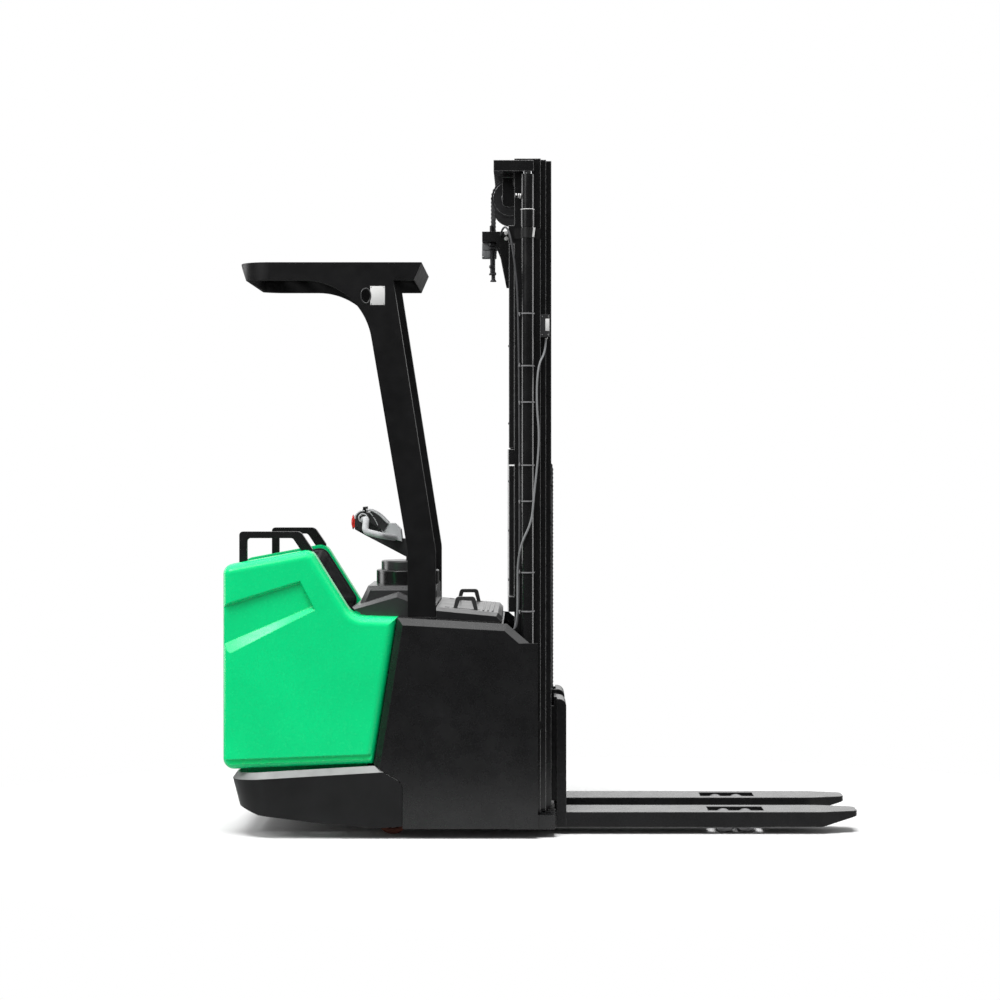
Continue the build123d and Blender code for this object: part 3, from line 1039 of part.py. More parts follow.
def tiller_arm():
    """Turret cap, curved arm, control head and the panel from head to hood in one casting."""
    cap = post(STEER_X, 0, TURRET_BASE_TOP_Z + TURRET_GAP / 2, TURRET_CAP_TOP_Z, TURRET_CAP_R)
    cap = fillet(cap.edges().group_by(Axis.Z)[-1], TURRET_ROUND)
    shaft = post(STEER_X, 0, TURRET_BASE_TOP_Z - TILLER_SHAFT_LENGTH, TURRET_CAP_TOP_Z, TILLER_SHAFT_R)
    arm = prism_xz(ARM_OUTLINE, -ARM_HALF, ARM_HALF, {3: ARM_ROUND, 4: 2 * ARM_ROUND, 6: 2 * ARM_ROUND})
    head = prism_xz(HEAD_OUTLINE, -TILLER_HEAD_HALF, TILLER_HEAD_HALF,
                    {0: HEAD_ROUND, 1: HEAD_ROUND, 2: HEAD_ROUND})
    bridge = prism_xz(BRIDGE_OUTLINE, -BRIDGE_HALF, BRIDGE_HALF, {2: ARM_ROUND, 3: ARM_ROUND})
    pocket = block(BUTTON_X[0], BUTTON_X[1] + BUTTON_TRAVEL + TURRET_GAP, -BUTTON_HALF - BUTTON_GAP,
                   BUTTON_HALF + BUTTON_GAP, BUTTON_Z[0] - BUTTON_GAP, BUTTON_Z[1] + BUTTON_GAP)
    groove = cross_pin(*THUMB_AXIS, -TILLER_HEAD_HALF, TILLER_HEAD_HALF, THUMB_R + ROLLER_GAP)
    return joined(cap, shaft, arm, head, bridge) - pocket - groove


def belly_button():
    """Reversing button on the rear face of the tiller head."""
    points = [(BUTTON_X[0], BUTTON_Z[0]), (BUTTON_X[1], BUTTON_Z[0]), (BUTTON_X[1], BUTTON_Z[1]),
              (BUTTON_X[0], BUTTON_Z[1])]
    return prism_xz(points, -BUTTON_HALF, BUTTON_HALF, {0: BUTTON_ROUND, 3: BUTTON_ROUND})


def thumb_control():
    """Speed barrel across the head with a paddle for each thumb."""
    barrel = cross_pin(*THUMB_AXIS, -TILLER_HEAD_HALF, TILLER_HEAD_HALF, THUMB_R)
    paddle = block(THUMB_AXIS[0] - THUMB_PADDLE / 2, THUMB_AXIS[0] + THUMB_PADDLE / 2, -TILLER_HEAD_HALF,
                   THUMB_WIDTH - TILLER_HEAD_HALF, THUMB_AXIS[1], THUMB_TOP_Z)
    return joined(barrel, *both(paddle))


def tiller_grips(arm):
    """Closed hand loops on both sides of the head and the hood where they meet the arm."""
    hood = prism_xz(HOOD_OUTLINE, -HOOD_HALF, HOOD_HALF, {2: HOOD_ROUND, 3: HOOD_ROUND})
    path = FilletPolyline(*GRIP_ROUTE, radius=GRIP_BEND_R)
    section = Plane(origin=path @ 0, z_dir=path % 0) * Circle(GRIP_R)
    loop = sweep(section, path=path)
    return joined(hood, *both(loop)) - arm


# Drive unit and casters

def drive_unit():
    """Steered gear case with its motor above and the wheel pin at its side."""
    ring_top = DRIVE_PLATE_Z[0] - STEER_BEARING_GAP
    ring_foot = ring_top - DRIVE_RING_THICK
    ring = post(STEER_X, 0, ring_foot, ring_top, DRIVE_RING_R)
    motor = post(STEER_X, 0, ring_top, DRIVE_MOTOR_TOP_Z, DRIVE_MOTOR_R)
    wheel_side = DRIVE_WHEEL_WIDTH / 2 + DRIVE_SIDE_GAP
    case_points = [(STEER_X - DRIVE_CASE_HALF, DRIVE_CASE_FOOT_Z), (STEER_X + DRIVE_CASE_HALF, DRIVE_CASE_FOOT_Z),
                   (STEER_X + DRIVE_CASE_HALF, ring_foot), (STEER_X - DRIVE_CASE_HALF, ring_foot)]
    case = prism_xz(case_points, wheel_side, wheel_side + DRIVE_CASE_THICK,
                    {0: DRIVE_CASE_HALF * 0.9, 1: DRIVE_CASE_HALF * 0.9})
    pin = cross_pin(STEER_X, DRIVE_WHEEL_R, -DRIVE_WHEEL_WIDTH / 2, wheel_side, DRIVE_PIN_R)
    return joined(ring, motor, case, pin)


def wheel(x, y, radius, width, pin, rim_share):
    """Wheel about Y with a hub face set in from its tread."""
    y0, y1 = y - width / 2, y + width / 2
    tyre = cross_pin(x, radius, y0, y1, radius)
    tyre = chamfer(tyre.edges().filter_by(GeomType.CIRCLE), WHEEL_BEVEL)
    dishes = [cross_pin(x, radius, edge, edge + way * WHEEL_DISH, radius * rim_share)
              for edge, way in ((y0, 1), (y1, -1))]
    bosses = [cross_pin(x, radius, edge, edge + way * WHEEL_DISH, pin + WHEEL_BOSS)
              for edge, way in ((y0, 1), (y1, -1))]
    tyre = joined(tyre.cut(*dishes), *bosses)
    return tyre - cross_pin(x, radius, y0, y1, pin + RUN_FIT)


def drive_wheel():
    return wheel(STEER_X, 0, DRIVE_WHEEL_R, DRIVE_WHEEL_WIDTH, DRIVE_PIN_R, DRIVE_RIM_SHARE)


def caster_wheel():
    return wheel(CASTER_X - CASTER_TRAIL, -CASTER_Y, CASTER_WHEEL_R, CASTER_WHEEL_WIDTH, CASTER_PIN_R,
                 DRIVE_RIM_SHARE)


def caster_fork():
    """Right-hand swivel fork, hung from its stem in the chassis shelf."""
    crown_top = CASTER_SHELF_Z[0] - CASTER_CROWN_GAP
    crown_foot = crown_top - CASTER_CROWN
    reach = CASTER_WHEEL_WIDTH / 2 + CASTER_SIDE_GAP + CASTER_CHEEK
    stem = post(CASTER_X, -CASTER_Y, crown_foot, CASTER_SHELF_Z[1], CASTER_STEM_R)
    head = post(CASTER_X, -CASTER_Y, crown_foot, crown_top, reach)
    axle_x = CASTER_X - CASTER_TRAIL
    tail = block(axle_x, CASTER_X, -CASTER_Y - reach, -CASTER_Y + reach, crown_foot, crown_top)
    cheek_points = [(axle_x - CASTER_EYE_R, CASTER_WHEEL_R - CASTER_EYE_R),
                    (axle_x + CASTER_EYE_R, CASTER_WHEEL_R - CASTER_EYE_R), (CASTER_X, crown_top),
                    (axle_x, crown_top)]
    rounds = {0: CASTER_EYE_R * 0.9, 1: CASTER_EYE_R * 0.9}
    cheeks = [prism_xz(cheek_points, -CASTER_Y + low, -CASTER_Y + low + CASTER_CHEEK, rounds)
              for low in (-reach, reach - CASTER_CHEEK)]
    pin = cross_pin(axle_x, CASTER_WHEEL_R, -CASTER_Y - reach, -CASTER_Y + reach, CASTER_PIN_R)
    return joined(stem, head, tail, *cheeks, pin)


# Battery, electrics and hydraulics

def battery_pack():
    return block(MID_WALL_X[1] + BATTERY_GAP, BULKHEAD_X[0] - BATTERY_GAP, -LEDGE_INNER_Y + BATTERY_GAP,
                 LEDGE_INNER_Y - BATTERY_GAP, BATTERY_FLOOR_Z[1], BATTERY_TOP_Z)


def pump_unit():
    """Hydraulic tank with the pump motor on top."""
    x0, x1 = FRONT_WALL_X[1] + 2 * BATTERY_GAP, MID_WALL_X[0] - 2 * BATTERY_GAP
    tank = block(x0, x1, -FLOOR_HALF + 2 * BATTERY_GAP, -DRIVE_MOTOR_R - 4 * BATTERY_GAP, DRIVE_PLATE_Z[1],
                 PUMP_TANK_TOP_Z)
    middle = (-FLOOR_HALF - DRIVE_MOTOR_R) / 2
    motor = post((x0 + x1) / 2, middle, PUMP_TANK_TOP_Z, PUMP_MOTOR_TOP_Z, PUMP_MOTOR_R)
    return joined(tank, motor)


def motor_controller():
    """Finned controller housing on the other side of the drive motor."""
    x0, x1 = FRONT_WALL_X[1] + 2 * BATTERY_GAP, MID_WALL_X[0] - 2 * BATTERY_GAP
    y0, y1 = DRIVE_MOTOR_R + 4 * BATTERY_GAP, FLOOR_HALF - 2 * BATTERY_GAP
    base = block(x0, x1, y0, y1, DRIVE_PLATE_Z[1], CONTROLLER_TOP_Z)
    pitch = (x1 - x0) / CONTROLLER_FINS
    cuts = [block(x0 + (index + 0.6) * pitch, x0 + (index + 1) * pitch, y0, y1,
                  CONTROLLER_TOP_Z - 4 * BATTERY_GAP, CONTROLLER_TOP_Z) for index in range(CONTROLLER_FINS)]
    return base.cut(*cuts)


def lid_block():
    """Outer form of the battery cover, bevelled and falling towards the mast."""
    toe = LID_X[1] - LID_BEVEL
    points = [(LID_X[0], LID_FOOT_Z[0]), (LID_X[0], LID_TOP_Z[0]), (toe, lid_line(toe, LID_TOP_Z)),
              (LID_X[1], LID_TOP_Z[1] - LID_BEVEL), (LID_X[1], LID_FOOT_Z[1])]
    shell = prism_xz(points, -LID_HALF, LID_HALF)
    rims = shell.edges().filter_by(lambda edge: abs((edge @ 0.5).Y) > LID_HALF - 1
                                   and (edge @ 0.5).Z > LID_FOOT_Z[0] + LID_WALL
                                   and (edge @ 0.5).X > LID_X[0] + 1)
    return chamfer(rims, LID_BEVEL)


def battery_cover():
    """Lift-off lid, hollow below."""
    inner = LID_HALF - LID_WALL - LID_BEVEL
    x0, x1 = LID_X[0] + LID_WALL, LID_X[1] - LID_WALL - LID_BEVEL
    hollow = prism_xz([(x0, LID_FOOT_Z[1]), (x0, lid_line(x0, LID_TOP_Z) - LID_WALL),
                       (x1, lid_line(x1, LID_TOP_Z) - LID_WALL), (x1, LID_FOOT_Z[1])], -inner, inner)
    return lid_block() - hollow


def cover_handles():
    """Strap handles on the battery cover."""
    x0, x1 = LID_HANDLE_X
    foot = LID_TOP_Z[1]
    top = lid_line((x0 + x1) / 2, LID_TOP_Z) + LID_HANDLE_RISE
    bar = LID_HANDLE_BAR
    strap = prism_xz([(x0, foot), (x0 + bar, top), (x1 - bar, top), (x1, foot)], -LID_HANDLE_Y[1],
                     -LID_HANDLE_Y[0], {1: bar, 2: bar})
    gap = prism_xz([(x0 + bar, foot), (x0 + 2 * bar, top - bar), (x1 - 2 * bar, top - bar), (x1 - bar, foot)],
                   -LID_HANDLE_Y[1], -LID_HANDLE_Y[0])
    return both(strap - gap - lid_block())


# Mast fittings

def mast_screen():
    rear = RAIL_REAR_X - OUTER_CROSS_THICK
    return block(rear - SCREEN_THICK, rear, -SCREEN_HALF, SCREEN_HALF, OUTER_CROSS_Z[2][0], OUTER_CROSS_Z[1][1])


def mast_sensors():
    """Height switch below the right-hand chain anchor, and a stage sensor on the outer rail."""
    y0 = -SHEAVE_Y + ANCHOR_BOLT_R + BATTERY_GAP
    switch = block(ANCHOR_PLATE_X, ANCHOR_GUSSET_X - CROSS_PLATE - SKIN_GAP, y0, y0 + SWITCH_BOX[0],
                   ANCHOR_PLATE_Z[0] - SWITCH_BOX[1], ANCHOR_PLATE_Z[0])
    front = RAIL_REAR_X + RAIL_WIDTH
    sensor = block(front, front + SENSOR_SIZE[0], -RAIL_FACE_Y, SENSOR_SIZE[1] - RAIL_FACE_Y, *SENSOR_Z)
    edges = sensor.edges().filter_by(Axis.Z).sort_by(Axis.X)[-2:]
    return [switch, chamfer(edges, SENSOR_SIZE[0] / 6)]


def bend_radii(route):
    """Radius of each bend of a route: as large as its shorter run allows, up to the longest bend."""
    radii = []
    for before, here, after in zip(route, route[1:], route[2:]):
        arrive, leave = Vector(here) - Vector(before), Vector(after) - Vector(here)
        turn = math.radians(arrive.get_angle(leave))
        reach = 0.45 * min(arrive.length, leave.length) / math.tan(turn / 2)
        radii.append(min(reach, LONGEST_BEND))
    return radii


def tube(route, radius):
    """Cable of straight runs and tangent arcs."""
    path = FilletPolyline(*route, radius=bend_radii(route))
    section = Plane(origin=path @ 0, z_dir=path % 0) * Circle(radius)
    return sweep(section, path=path)


def mast_cables():
    """Leads of the height switch and the stage sensor, tied to the right-hand lift cylinder."""
    return [tube(SWITCH_ROUTE, CABLE_R), tube(SENSOR_ROUTE, CABLE_R)]


def band(x, y, z0, z1, radius, thick, grip_x=None):
    """Closed band round a cylinder, drawn out to hold a cable beside it if grip_x is given."""
    circles = [(x, radius)] if grip_x is None else [(x, radius), (grip_x, CABLE_R + CABLE_GAP / 2)]
    rings = []
    for extra in (thick, 0):
        discs = [Pos(cx, y) * Circle(r + extra) for cx, r in circles]
        face = discs[0] if len(discs) == 1 else make_hull(discs[0].edges() + discs[1].edges())
        rings.append(extrude(Pos(0, 0, z0) * face, amount=z1 - z0))
    return rings[0] - rings[1]


def cylinder_bands():
    """Strap clamps that hold both lift cylinders, and ties round the right-hand one."""
    clamps = []
    for z0, z1 in CLAMP_Z:
        ring = band(CYLINDER_X, -CYLINDER_Y, z0, z1, CYLINDER_R, CLAMP_THICK)
        ear = block(RAIL_REAR_X, RAIL_REAR_X + RAIL_WIDTH, -RAIL_FACE_Y - CLAMP_THICK, -RAIL_FACE_Y, z0, z1)
        rail_side = block(RAIL_REAR_X, RAIL_REAR_X + RAIL_WIDTH, -RAIL_FACE_Y, RAIL_DEPTH - RAIL_FACE_Y, z0, z1)
        bore = post(CYLINDER_X, -CYLINDER_Y, z0, z1, CYLINDER_R)
        clamps += both(joined(ring, ear) - bore - rail_side)
    ties = [band(CYLINDER_X, -CYLINDER_Y, z, z + TIE_WIDTH, CYLINDER_R, TIE_THICK, TIE_GRIP_X) for z in TIE_Z]
    return clamps + ties


def main():
    os.makedirs("parts", exist_ok=True)
    cover_block = cover_form()
    right_cover = cover(cover_block)
    arm = tiller_arm()
    rear_load_roller, front_load_roller = load_roller(-1), load_roller(1)
    nodes = {
        "chassis_frame": chassis_frame(), "support_legs": support_legs(), "side_panels": side_panels(),
        "rear_bumper": rear_bumper(), "platform_floor": platform_floor(), "floor_mat": floor_mat(),
        "cover_right": right_cover, "cover_left": other_side(right_cover), "side_pads": side_pads(),
        "grab_handles": grab_handles(cover_block), "overhead_guard": overhead_guard(), "console": console(),
        "turret_base": turret_base(), "battery_pack": battery_pack(), "pump_unit": pump_unit(),
        "motor_controller": motor_controller(), "outer_mast": outer_mast(), "lift_cylinders": lift_cylinders(),
        "cylinder_bands": cylinder_bands(), "chain_anchors": chain_anchors(), "mast_sensors": mast_sensors(),
        "mast_cables": mast_cables(), "mast_screen": mast_screen(), "main_chain_rear": main_chain_rear(),
        "middle_mast": middle_mast(), "lift_rods": lift_rods(), "main_sheaves": main_sheaves(),
        "main_chain_front": main_chain_front(), "inner_mast": inner_mast(),
        "free_lift_cylinder": free_lift_cylinder(), "free_lift_rod": free_lift_rod(),
        "free_lift_sheaves": free_lift_sheaves(), "free_chain_rear": free_chain_rear(),
        "free_chain_front": free_chain_front(), "carriage": carriage(), "forks": forks(),
        "carriage_rollers_lower": roller_pair(channel_x(2), CARRIAGE_ROLLER_Z[0], CARRIAGE_FACE_Y),
        "carriage_rollers_upper": roller_pair(channel_x(2), CARRIAGE_ROLLER_Z[1], CARRIAGE_FACE_Y),
        "middle_mast_rollers": roller_pair(channel_x(0), MAST_ROLLER_Z, rail_face(1)),
        "inner_mast_rollers": roller_pair(channel_x(1), MAST_ROLLER_Z, rail_face(2)),
        "drive_unit": drive_unit(), "drive_wheel": drive_wheel(),
        "caster_fork_right": caster_fork(), "caster_fork_left": other_side(caster_fork()),
        "caster_wheel_right": caster_wheel(), "caster_wheel_left": other_side(caster_wheel()),
        "bogie_right": bogie(), "bogie_left": other_side(bogie()),
        "load_roller_right_rear": rear_load_roller, "load_roller_right_front": front_load_roller,
        "load_roller_left_rear": other_side(rear_load_roller),
        "load_roller_left_front": other_side(front_load_roller),
        "tiller_arm": arm, "tiller_grips": tiller_grips(arm), "thumb_control": thumb_control(),
        "belly_button": belly_button(), "emergency_stop": emergency_stop(), "key_switch": key_switch(),
        "battery_cover": battery_cover(), "cover_handles": cover_handles(),
    }
    for name, shape in nodes.items():
        write(name, shape)


main()
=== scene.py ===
"""Looks of the ride-on stacker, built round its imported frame.

Every piece is in metres, in the frame's own axes: +X to the fork tips, +Y to the left, +Z up.
"""

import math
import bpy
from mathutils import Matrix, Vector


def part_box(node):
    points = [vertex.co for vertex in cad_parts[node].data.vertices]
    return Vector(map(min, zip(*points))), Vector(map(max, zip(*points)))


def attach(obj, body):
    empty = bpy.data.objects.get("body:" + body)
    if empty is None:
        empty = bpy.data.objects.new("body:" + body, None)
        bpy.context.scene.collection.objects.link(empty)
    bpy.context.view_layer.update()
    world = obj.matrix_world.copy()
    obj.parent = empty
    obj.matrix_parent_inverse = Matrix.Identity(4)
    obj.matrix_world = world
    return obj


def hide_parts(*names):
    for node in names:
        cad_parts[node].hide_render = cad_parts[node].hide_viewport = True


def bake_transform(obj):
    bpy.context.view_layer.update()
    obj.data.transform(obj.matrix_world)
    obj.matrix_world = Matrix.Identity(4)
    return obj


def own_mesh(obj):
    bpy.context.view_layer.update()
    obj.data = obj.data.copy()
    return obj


bl_info = {
    "name": "Ride-on stacker looks",
    "version": (1, 0, 0),
    "blender": (4, 5, 0),
    "location": "View3D > Sidebar > Stacker",
    "description": "Finishes, chains, pads, cables and trim of a ride-on stacker, with its studio",
    "category": "Object",
}

import bmesh
import bpy
from bpy.props import FloatProperty, FloatVectorProperty, PointerProperty
from mathutils import Matrix, Vector, geometry

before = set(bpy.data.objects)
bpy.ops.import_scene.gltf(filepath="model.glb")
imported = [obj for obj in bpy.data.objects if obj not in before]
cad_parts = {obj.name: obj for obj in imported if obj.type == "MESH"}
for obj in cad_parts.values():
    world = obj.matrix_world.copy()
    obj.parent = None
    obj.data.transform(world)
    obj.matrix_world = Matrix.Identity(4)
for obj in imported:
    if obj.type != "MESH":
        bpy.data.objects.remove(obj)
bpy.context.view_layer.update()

SIDES = (("right", -1), ("left", 1))
UP = Vector((0, 0, 1))
DOWN = Vector((0, 0, -1))
FORWARD = Vector((1, 0, 0))
REARWARD = Vector((-1, 0, 0))
LEFTWARD = Vector((0, 1, 0))
RIGHTWARD = Vector((0, -1, 0))


class StackerColours(bpy.types.PropertyGroup):
    """Base colours of the finishes, in linear light."""

    green: FloatVectorProperty(
        name="Green moulding", description="Side covers", subtype="COLOR", size=3, min=0, max=1,
        default=(0.0, 0.73, 0.235))
    black: FloatVectorProperty(
        name="Black paint", description="Chassis, guard, forks and mast", subtype="COLOR", size=3, min=0,
        max=1, default=(0.010, 0.010, 0.0105))
    trim: FloatVectorProperty(
        name="Black moulding", description="Console, lid and tiller", subtype="COLOR", size=3, min=0, max=1,
        default=(0.034, 0.034, 0.035))
    grip: FloatVectorProperty(
        name="Grey moulding", description="Tiller hood and loops", subtype="COLOR", size=3, min=0, max=1,
        default=(0.56, 0.57, 0.58))
    red: FloatVectorProperty(
        name="Red button", description="Stop and reversing buttons", subtype="COLOR", size=3, min=0, max=1,
        default=(0.80, 0.035, 0.022))
    tread: FloatVectorProperty(
        name="Tread", description="Caster wheels", subtype="COLOR", size=3, min=0, max=1,
        default=(0.20, 0.050, 0.026))
    cable: FloatVectorProperty(
        name="Cable sheath", description="Lead of the stage sensor", subtype="COLOR", size=3, min=0, max=1,
        default=(0.24, 0.245, 0.25))


class StackerSizes(bpy.types.PropertyGroup):
    """Sizes of the trim that the frame leaves to the looks."""

    edge: FloatProperty(
        name="Edge rounding", description="How far hard edges of painted plate are softened in shading",
        default=0.0022, min=0.0002, max=0.01, unit="LENGTH")
    chain_pitch: FloatProperty(
        name="Chain pitch", description="Pin to pin distance of the leaf chains", default=0.015875, min=0.008,
        max=0.04, unit="LENGTH")
    chain_width: FloatProperty(
        name="Chain width", description="Length of a chain pin", default=0.016, min=0.006, max=0.05,
        unit="LENGTH")
    link_height: FloatProperty(
        name="Link height", description="Height of a link plate", default=0.0168, min=0.005, max=0.02,
        unit="LENGTH")
    piping: FloatProperty(
        name="Piping", description="Thickness of the cord sewn round a pad", default=0.005, min=0.002,
        max=0.01, unit="LENGTH")
    cable: FloatProperty(
        name="Cable thickness", description="Sensor leads", default=0.008, min=0.003, max=0.02, unit="LENGTH")


class StackerStage(bpy.types.PropertyGroup):
    """Camera, lamps and surround."""

    distance: FloatProperty(
        name="Camera distance", description="From the lens to the truck's middle plane", default=9.0, min=3,
        max=30, unit="LENGTH")
    height: FloatProperty(
        name="Camera height", description="Lens above the floor", default=1.446, min=0.2, max=4,
        unit="LENGTH")
    station: FloatProperty(
        name="Camera station", description="Lens along the truck", default=-0.068, min=-2, max=2,
        unit="LENGTH")
    lens: FloatProperty(
        name="Lens", description="Focal length on a 36 mm sensor", default=79.52, min=20, max=300,
        unit="CAMERA")
    key: FloatProperty(
        name="Overhead light", description="Level of the broad light from above", default=3.8, min=0, max=20)
    ambient: FloatProperty(
        name="Surround", description="Level of the pale surround as a light", default=0.36, min=0, max=2)
    strip: FloatProperty(
        name="Side strips", description="Power of the tall soft strips front and rear", default=75.0, min=0,
        max=500, unit="POWER")
    canopy: FloatProperty(
        name="Canopy", description="Power of the soft box up on the left", default=125.0, min=0, max=1000,
        unit="POWER")
    gloom: FloatProperty(
        name="Dark side", description="What a reflection finds on the camera's side", default=0.04, min=0,
        max=1)
    glow: FloatProperty(
        name="Bright side", description="What a reflection finds behind and above", default=1.0, min=0, max=5)
    zenith: FloatProperty(
        name="Overhead panel", description="What a reflection finds straight above, beyond the bright side",
        default=1.6, min=0, max=8)


class Graph:
    """Shader nodes under construction."""

    def __init__(self, tree):
        self.nodes = tree.nodes
        self.links = tree.links

    def feed(self, socket, value):
        """Another node's output, or a plain value, into a socket."""
        if isinstance(value, bpy.types.NodeSocket):
            self.links.new(value, socket)
        else:
            socket.default_value = value

    def remap(self, value, low, high, new_low, new_high, easing="LINEAR"):
        """A number taken from one range to another."""
        node = self.nodes.new("ShaderNodeMapRange")
        node.interpolation_type = easing
        ends = {"From Min": low, "From Max": high, "To Min": new_low, "To Max": new_high}
        for name, number in ends.items():
            node.inputs[name].default_value = number
        self.links.new(value, node.inputs["Value"])
        return node.outputs["Result"]

    def calculate(self, operation, *values, kind="ShaderNodeMath"):
        """One number out of numbers."""
        node = self.nodes.new(kind)
        node.operation = operation
        for socket, value in zip(node.inputs, values):
            self.feed(socket, value)
        return node.outputs["Value"]

    def measure(self, operation, *vectors):
        """One number out of vectors."""
        return self.calculate(operation, *vectors, kind="ShaderNodeVectorMath")

    def height(self, vector):
        """The upright part of a vector."""
        split = self.nodes.new("ShaderNodeSeparateXYZ")
        self.links.new(vector, split.inputs[0])
        return split.outputs["Z"]

    def ray(self, kind):
        """1 for one kind of ray and 0 for the others."""
        return self.nodes.new("ShaderNodeLightPath").outputs[kind]


class Finish(Graph):
    """One material: its nodes, its shader and the object coordinates that drive it."""

    def __init__(self, name):
        self.material = bpy.data.materials.new(name)
        self.material.use_nodes = True
        super().__init__(self.material.node_tree)
        self.shader = self.nodes["Principled BSDF"]
        self.place = self.nodes.new("ShaderNodeTexCoord").outputs["Object"]

    def set(self, **values):
        """Plain values on the shader's own sockets, by socket name with underscores."""
        for name, value in values.items():
            self.shader.inputs[name.replace("_", " ")].default_value = value
        return self

    def use(self, socket, output):
        """A node's output into one of the shader's sockets."""
        self.links.new(output, self.shader.inputs[socket])

    def stretched(self, scale):
        """Object coordinates with a scale for each axis."""
        mapping = self.nodes.new("ShaderNodeMapping")
        mapping.inputs["Scale"].default_value = scale
        self.links.new(self.place, mapping.inputs["Vector"])
        return mapping.outputs["Vector"]

    def noise(self, scale, detail=4.0, roughness=0.55, place=None):
        """Cloudy pattern."""
        node = self.nodes.new("ShaderNodeTexNoise")
        node.inputs["Scale"].default_value = scale
        node.inputs["Detail"].default_value = detail
        node.inputs["Roughness"].default_value = roughness
        self.links.new(place or self.place, node.inputs["Vector"])
        return node.outputs["Fac"]

    def cells(self, scale):
        """Pebbled pattern."""
        node = self.nodes.new("ShaderNodeTexVoronoi")
        node.feature = "SMOOTH_F1"
        node.inputs["Scale"].default_value = scale
        self.links.new(self.place, node.inputs["Vector"])
        return node.outputs["Distance"]

    def blend(self, share, first, second):
        """Colour between two others; each is a colour or another node's output."""
        node = self.nodes.new("ShaderNodeMix")
        node.data_type = "RGBA"
        self.links.new(share, node.inputs["Factor"])
        for socket, colour in ((node.inputs[6], first), (node.inputs[7], second)):
            self.feed(socket, colour if isinstance(colour, bpy.types.NodeSocket) else (*colour, 1.0))
        return node.outputs[2]

    def mottled(self, pattern, start, colour, dark, light):
        """A colour that drifts with a pattern between a darker and a lighter shade of itself."""
        return self.blend(self.remap(pattern, start, 0.7, 0, 1), shade(colour, dark), shade(colour, light))

    def polish(self, pattern, level, less, more):
        """Roughness that wavers with a pattern about its level."""
        self.use("Roughness", self.remap(pattern, 0.3, 0.7, level - less, level + more))

    def round_edges(self, radius):
        """Normal that turns softly over hard edges."""
        node = self.nodes.new("ShaderNodeBevel")
        node.samples = 4
        node.inputs["Radius"].default_value = radius
        return node.outputs["Normal"]

    def true_normal(self):
        return self.nodes.new("ShaderNodeNewGeometry").outputs["Normal"]

    def edge_share(self, rounded):
        """1 along softened edges and 0 on open faces."""
        return self.remap(self.measure("DOT_PRODUCT", rounded, self.true_normal()), 0.995, 0.86, 0.0, 1.0)

    def upward(self):
        """1 on faces that look up: where worn_paint lays a lighter grey that is a painted highlight of the
        overhead light and partly paint rubbed by boots and loads.
        """
        return self.remap(self.height(self.true_normal()), 0.55, 0.75, 0.0, 1.0)

    def bump(self, height, strength, distance, normal=None):
        """Normal that follows the height of a pattern."""
        node = self.nodes.new("ShaderNodeBump")
        node.inputs["Strength"].default_value = strength
        node.inputs["Distance"].default_value = distance
        self.links.new(height, node.inputs["Height"])
        if normal:
            self.links.new(normal, node.inputs["Normal"])
        return node.outputs["Normal"]


SCUFF_GREY = (0.10, 0.10, 0.105)
BLOOM_GREY = (0.20, 0.19, 0.18)
SMOKE_DARK = (0.010, 0.011, 0.012)
SMOKE_PALE = (0.020, 0.021, 0.022)
NO_LAY = (1.0, 1.0, 1.0)


def grey(level):
    """Colour without a hue."""
    return (level, level, level)


def shade(colour, factor):
    """A colour made darker or lighter."""
    return tuple(min(1.0, part * factor) for part in colour)


def worn_paint(name, colour, gloss, edge, edge_rub_and_sheen_share=0.25, scuff=None, coat=0.8, shine=0.40, tread=None, edge_rub_and_sheen=0.16,
               peel=0.06):
    """Sprayed paint: orange peel, a little dust, softened edges, lighter grey along the edges that is partly
    rubbed paint and partly a painted highlight, and lighter grey on up-facing faces that is a painted
    highlight of the overhead light and partly rubbed paint.
    """
    finish = Finish(name)
    rounded = finish.round_edges(edge)
    base = finish.mottled(finish.noise(7.0, 6.0), 0.35, colour, 0.82, 1.25)
    # Lighter grey along the softened edges, in spots: rubbed paint, and where the share and the grey are
    # large, as on the mast, a painted highlight of the edges.
    spots = finish.remap(finish.noise(38.0), 0.42 - 0.3 * edge_rub_and_sheen_share, 0.72 - 0.3 * edge_rub_and_sheen_share, 0, edge_rub_and_sheen_share)
    base = finish.blend(finish.calculate("MULTIPLY", finish.edge_share(rounded), spots), base, grey(edge_rub_and_sheen))
    if scuff:
        streaks = finish.noise(60.0, 8.0, 0.7, finish.stretched(scuff))
        base = finish.blend(finish.remap(streaks, 0.66, 0.82, 0, 0.35), base, SCUFF_GREY)
    # Lighter grey on up-facing faces, set by tread: a painted highlight of the overhead light on the tops,
    # and partly paint rubbed by boots and loads.
    if tread:
        top_sheen_patches = finish.remap(finish.noise(16.0, 7.0), 0.25, 0.6, 0.75, 1.0)
        base = finish.blend(finish.calculate("MULTIPLY", finish.upward(), top_sheen_patches), base, grey(tread))
    finish.use("Base Color", base)
    finish.polish(finish.noise(24.0, 5.0), gloss, 0.05, 0.08)
    finish.use("Normal", finish.bump(finish.noise(620.0, 2.0), peel, 0.0006, rounded))
    return finish.set(Specular_IOR_Level=shine, Coat_Weight=coat, Coat_Roughness=0.16).material


def moulded(name, colour, gloss, grain, depth, edge, coat=0.0, shine=0.38):
    """Injection moulding: fine spark-eroded grain, faint flow marks and softened edges."""
    finish = Finish(name)
    rounded = finish.round_edges(edge)
    finish.use("Base Color", finish.mottled(finish.noise(3.2, 3.0), 0.3, colour, 0.94, 1.05))
    finish.polish(finish.noise(55.0, 4.0), gloss, 0.04, 0.06)
    finish.use("Normal", finish.bump(finish.cells(grain), depth, 0.0005, rounded))
    return finish.set(Specular_IOR_Level=shine, Coat_Weight=coat, Coat_Roughness=0.25).material


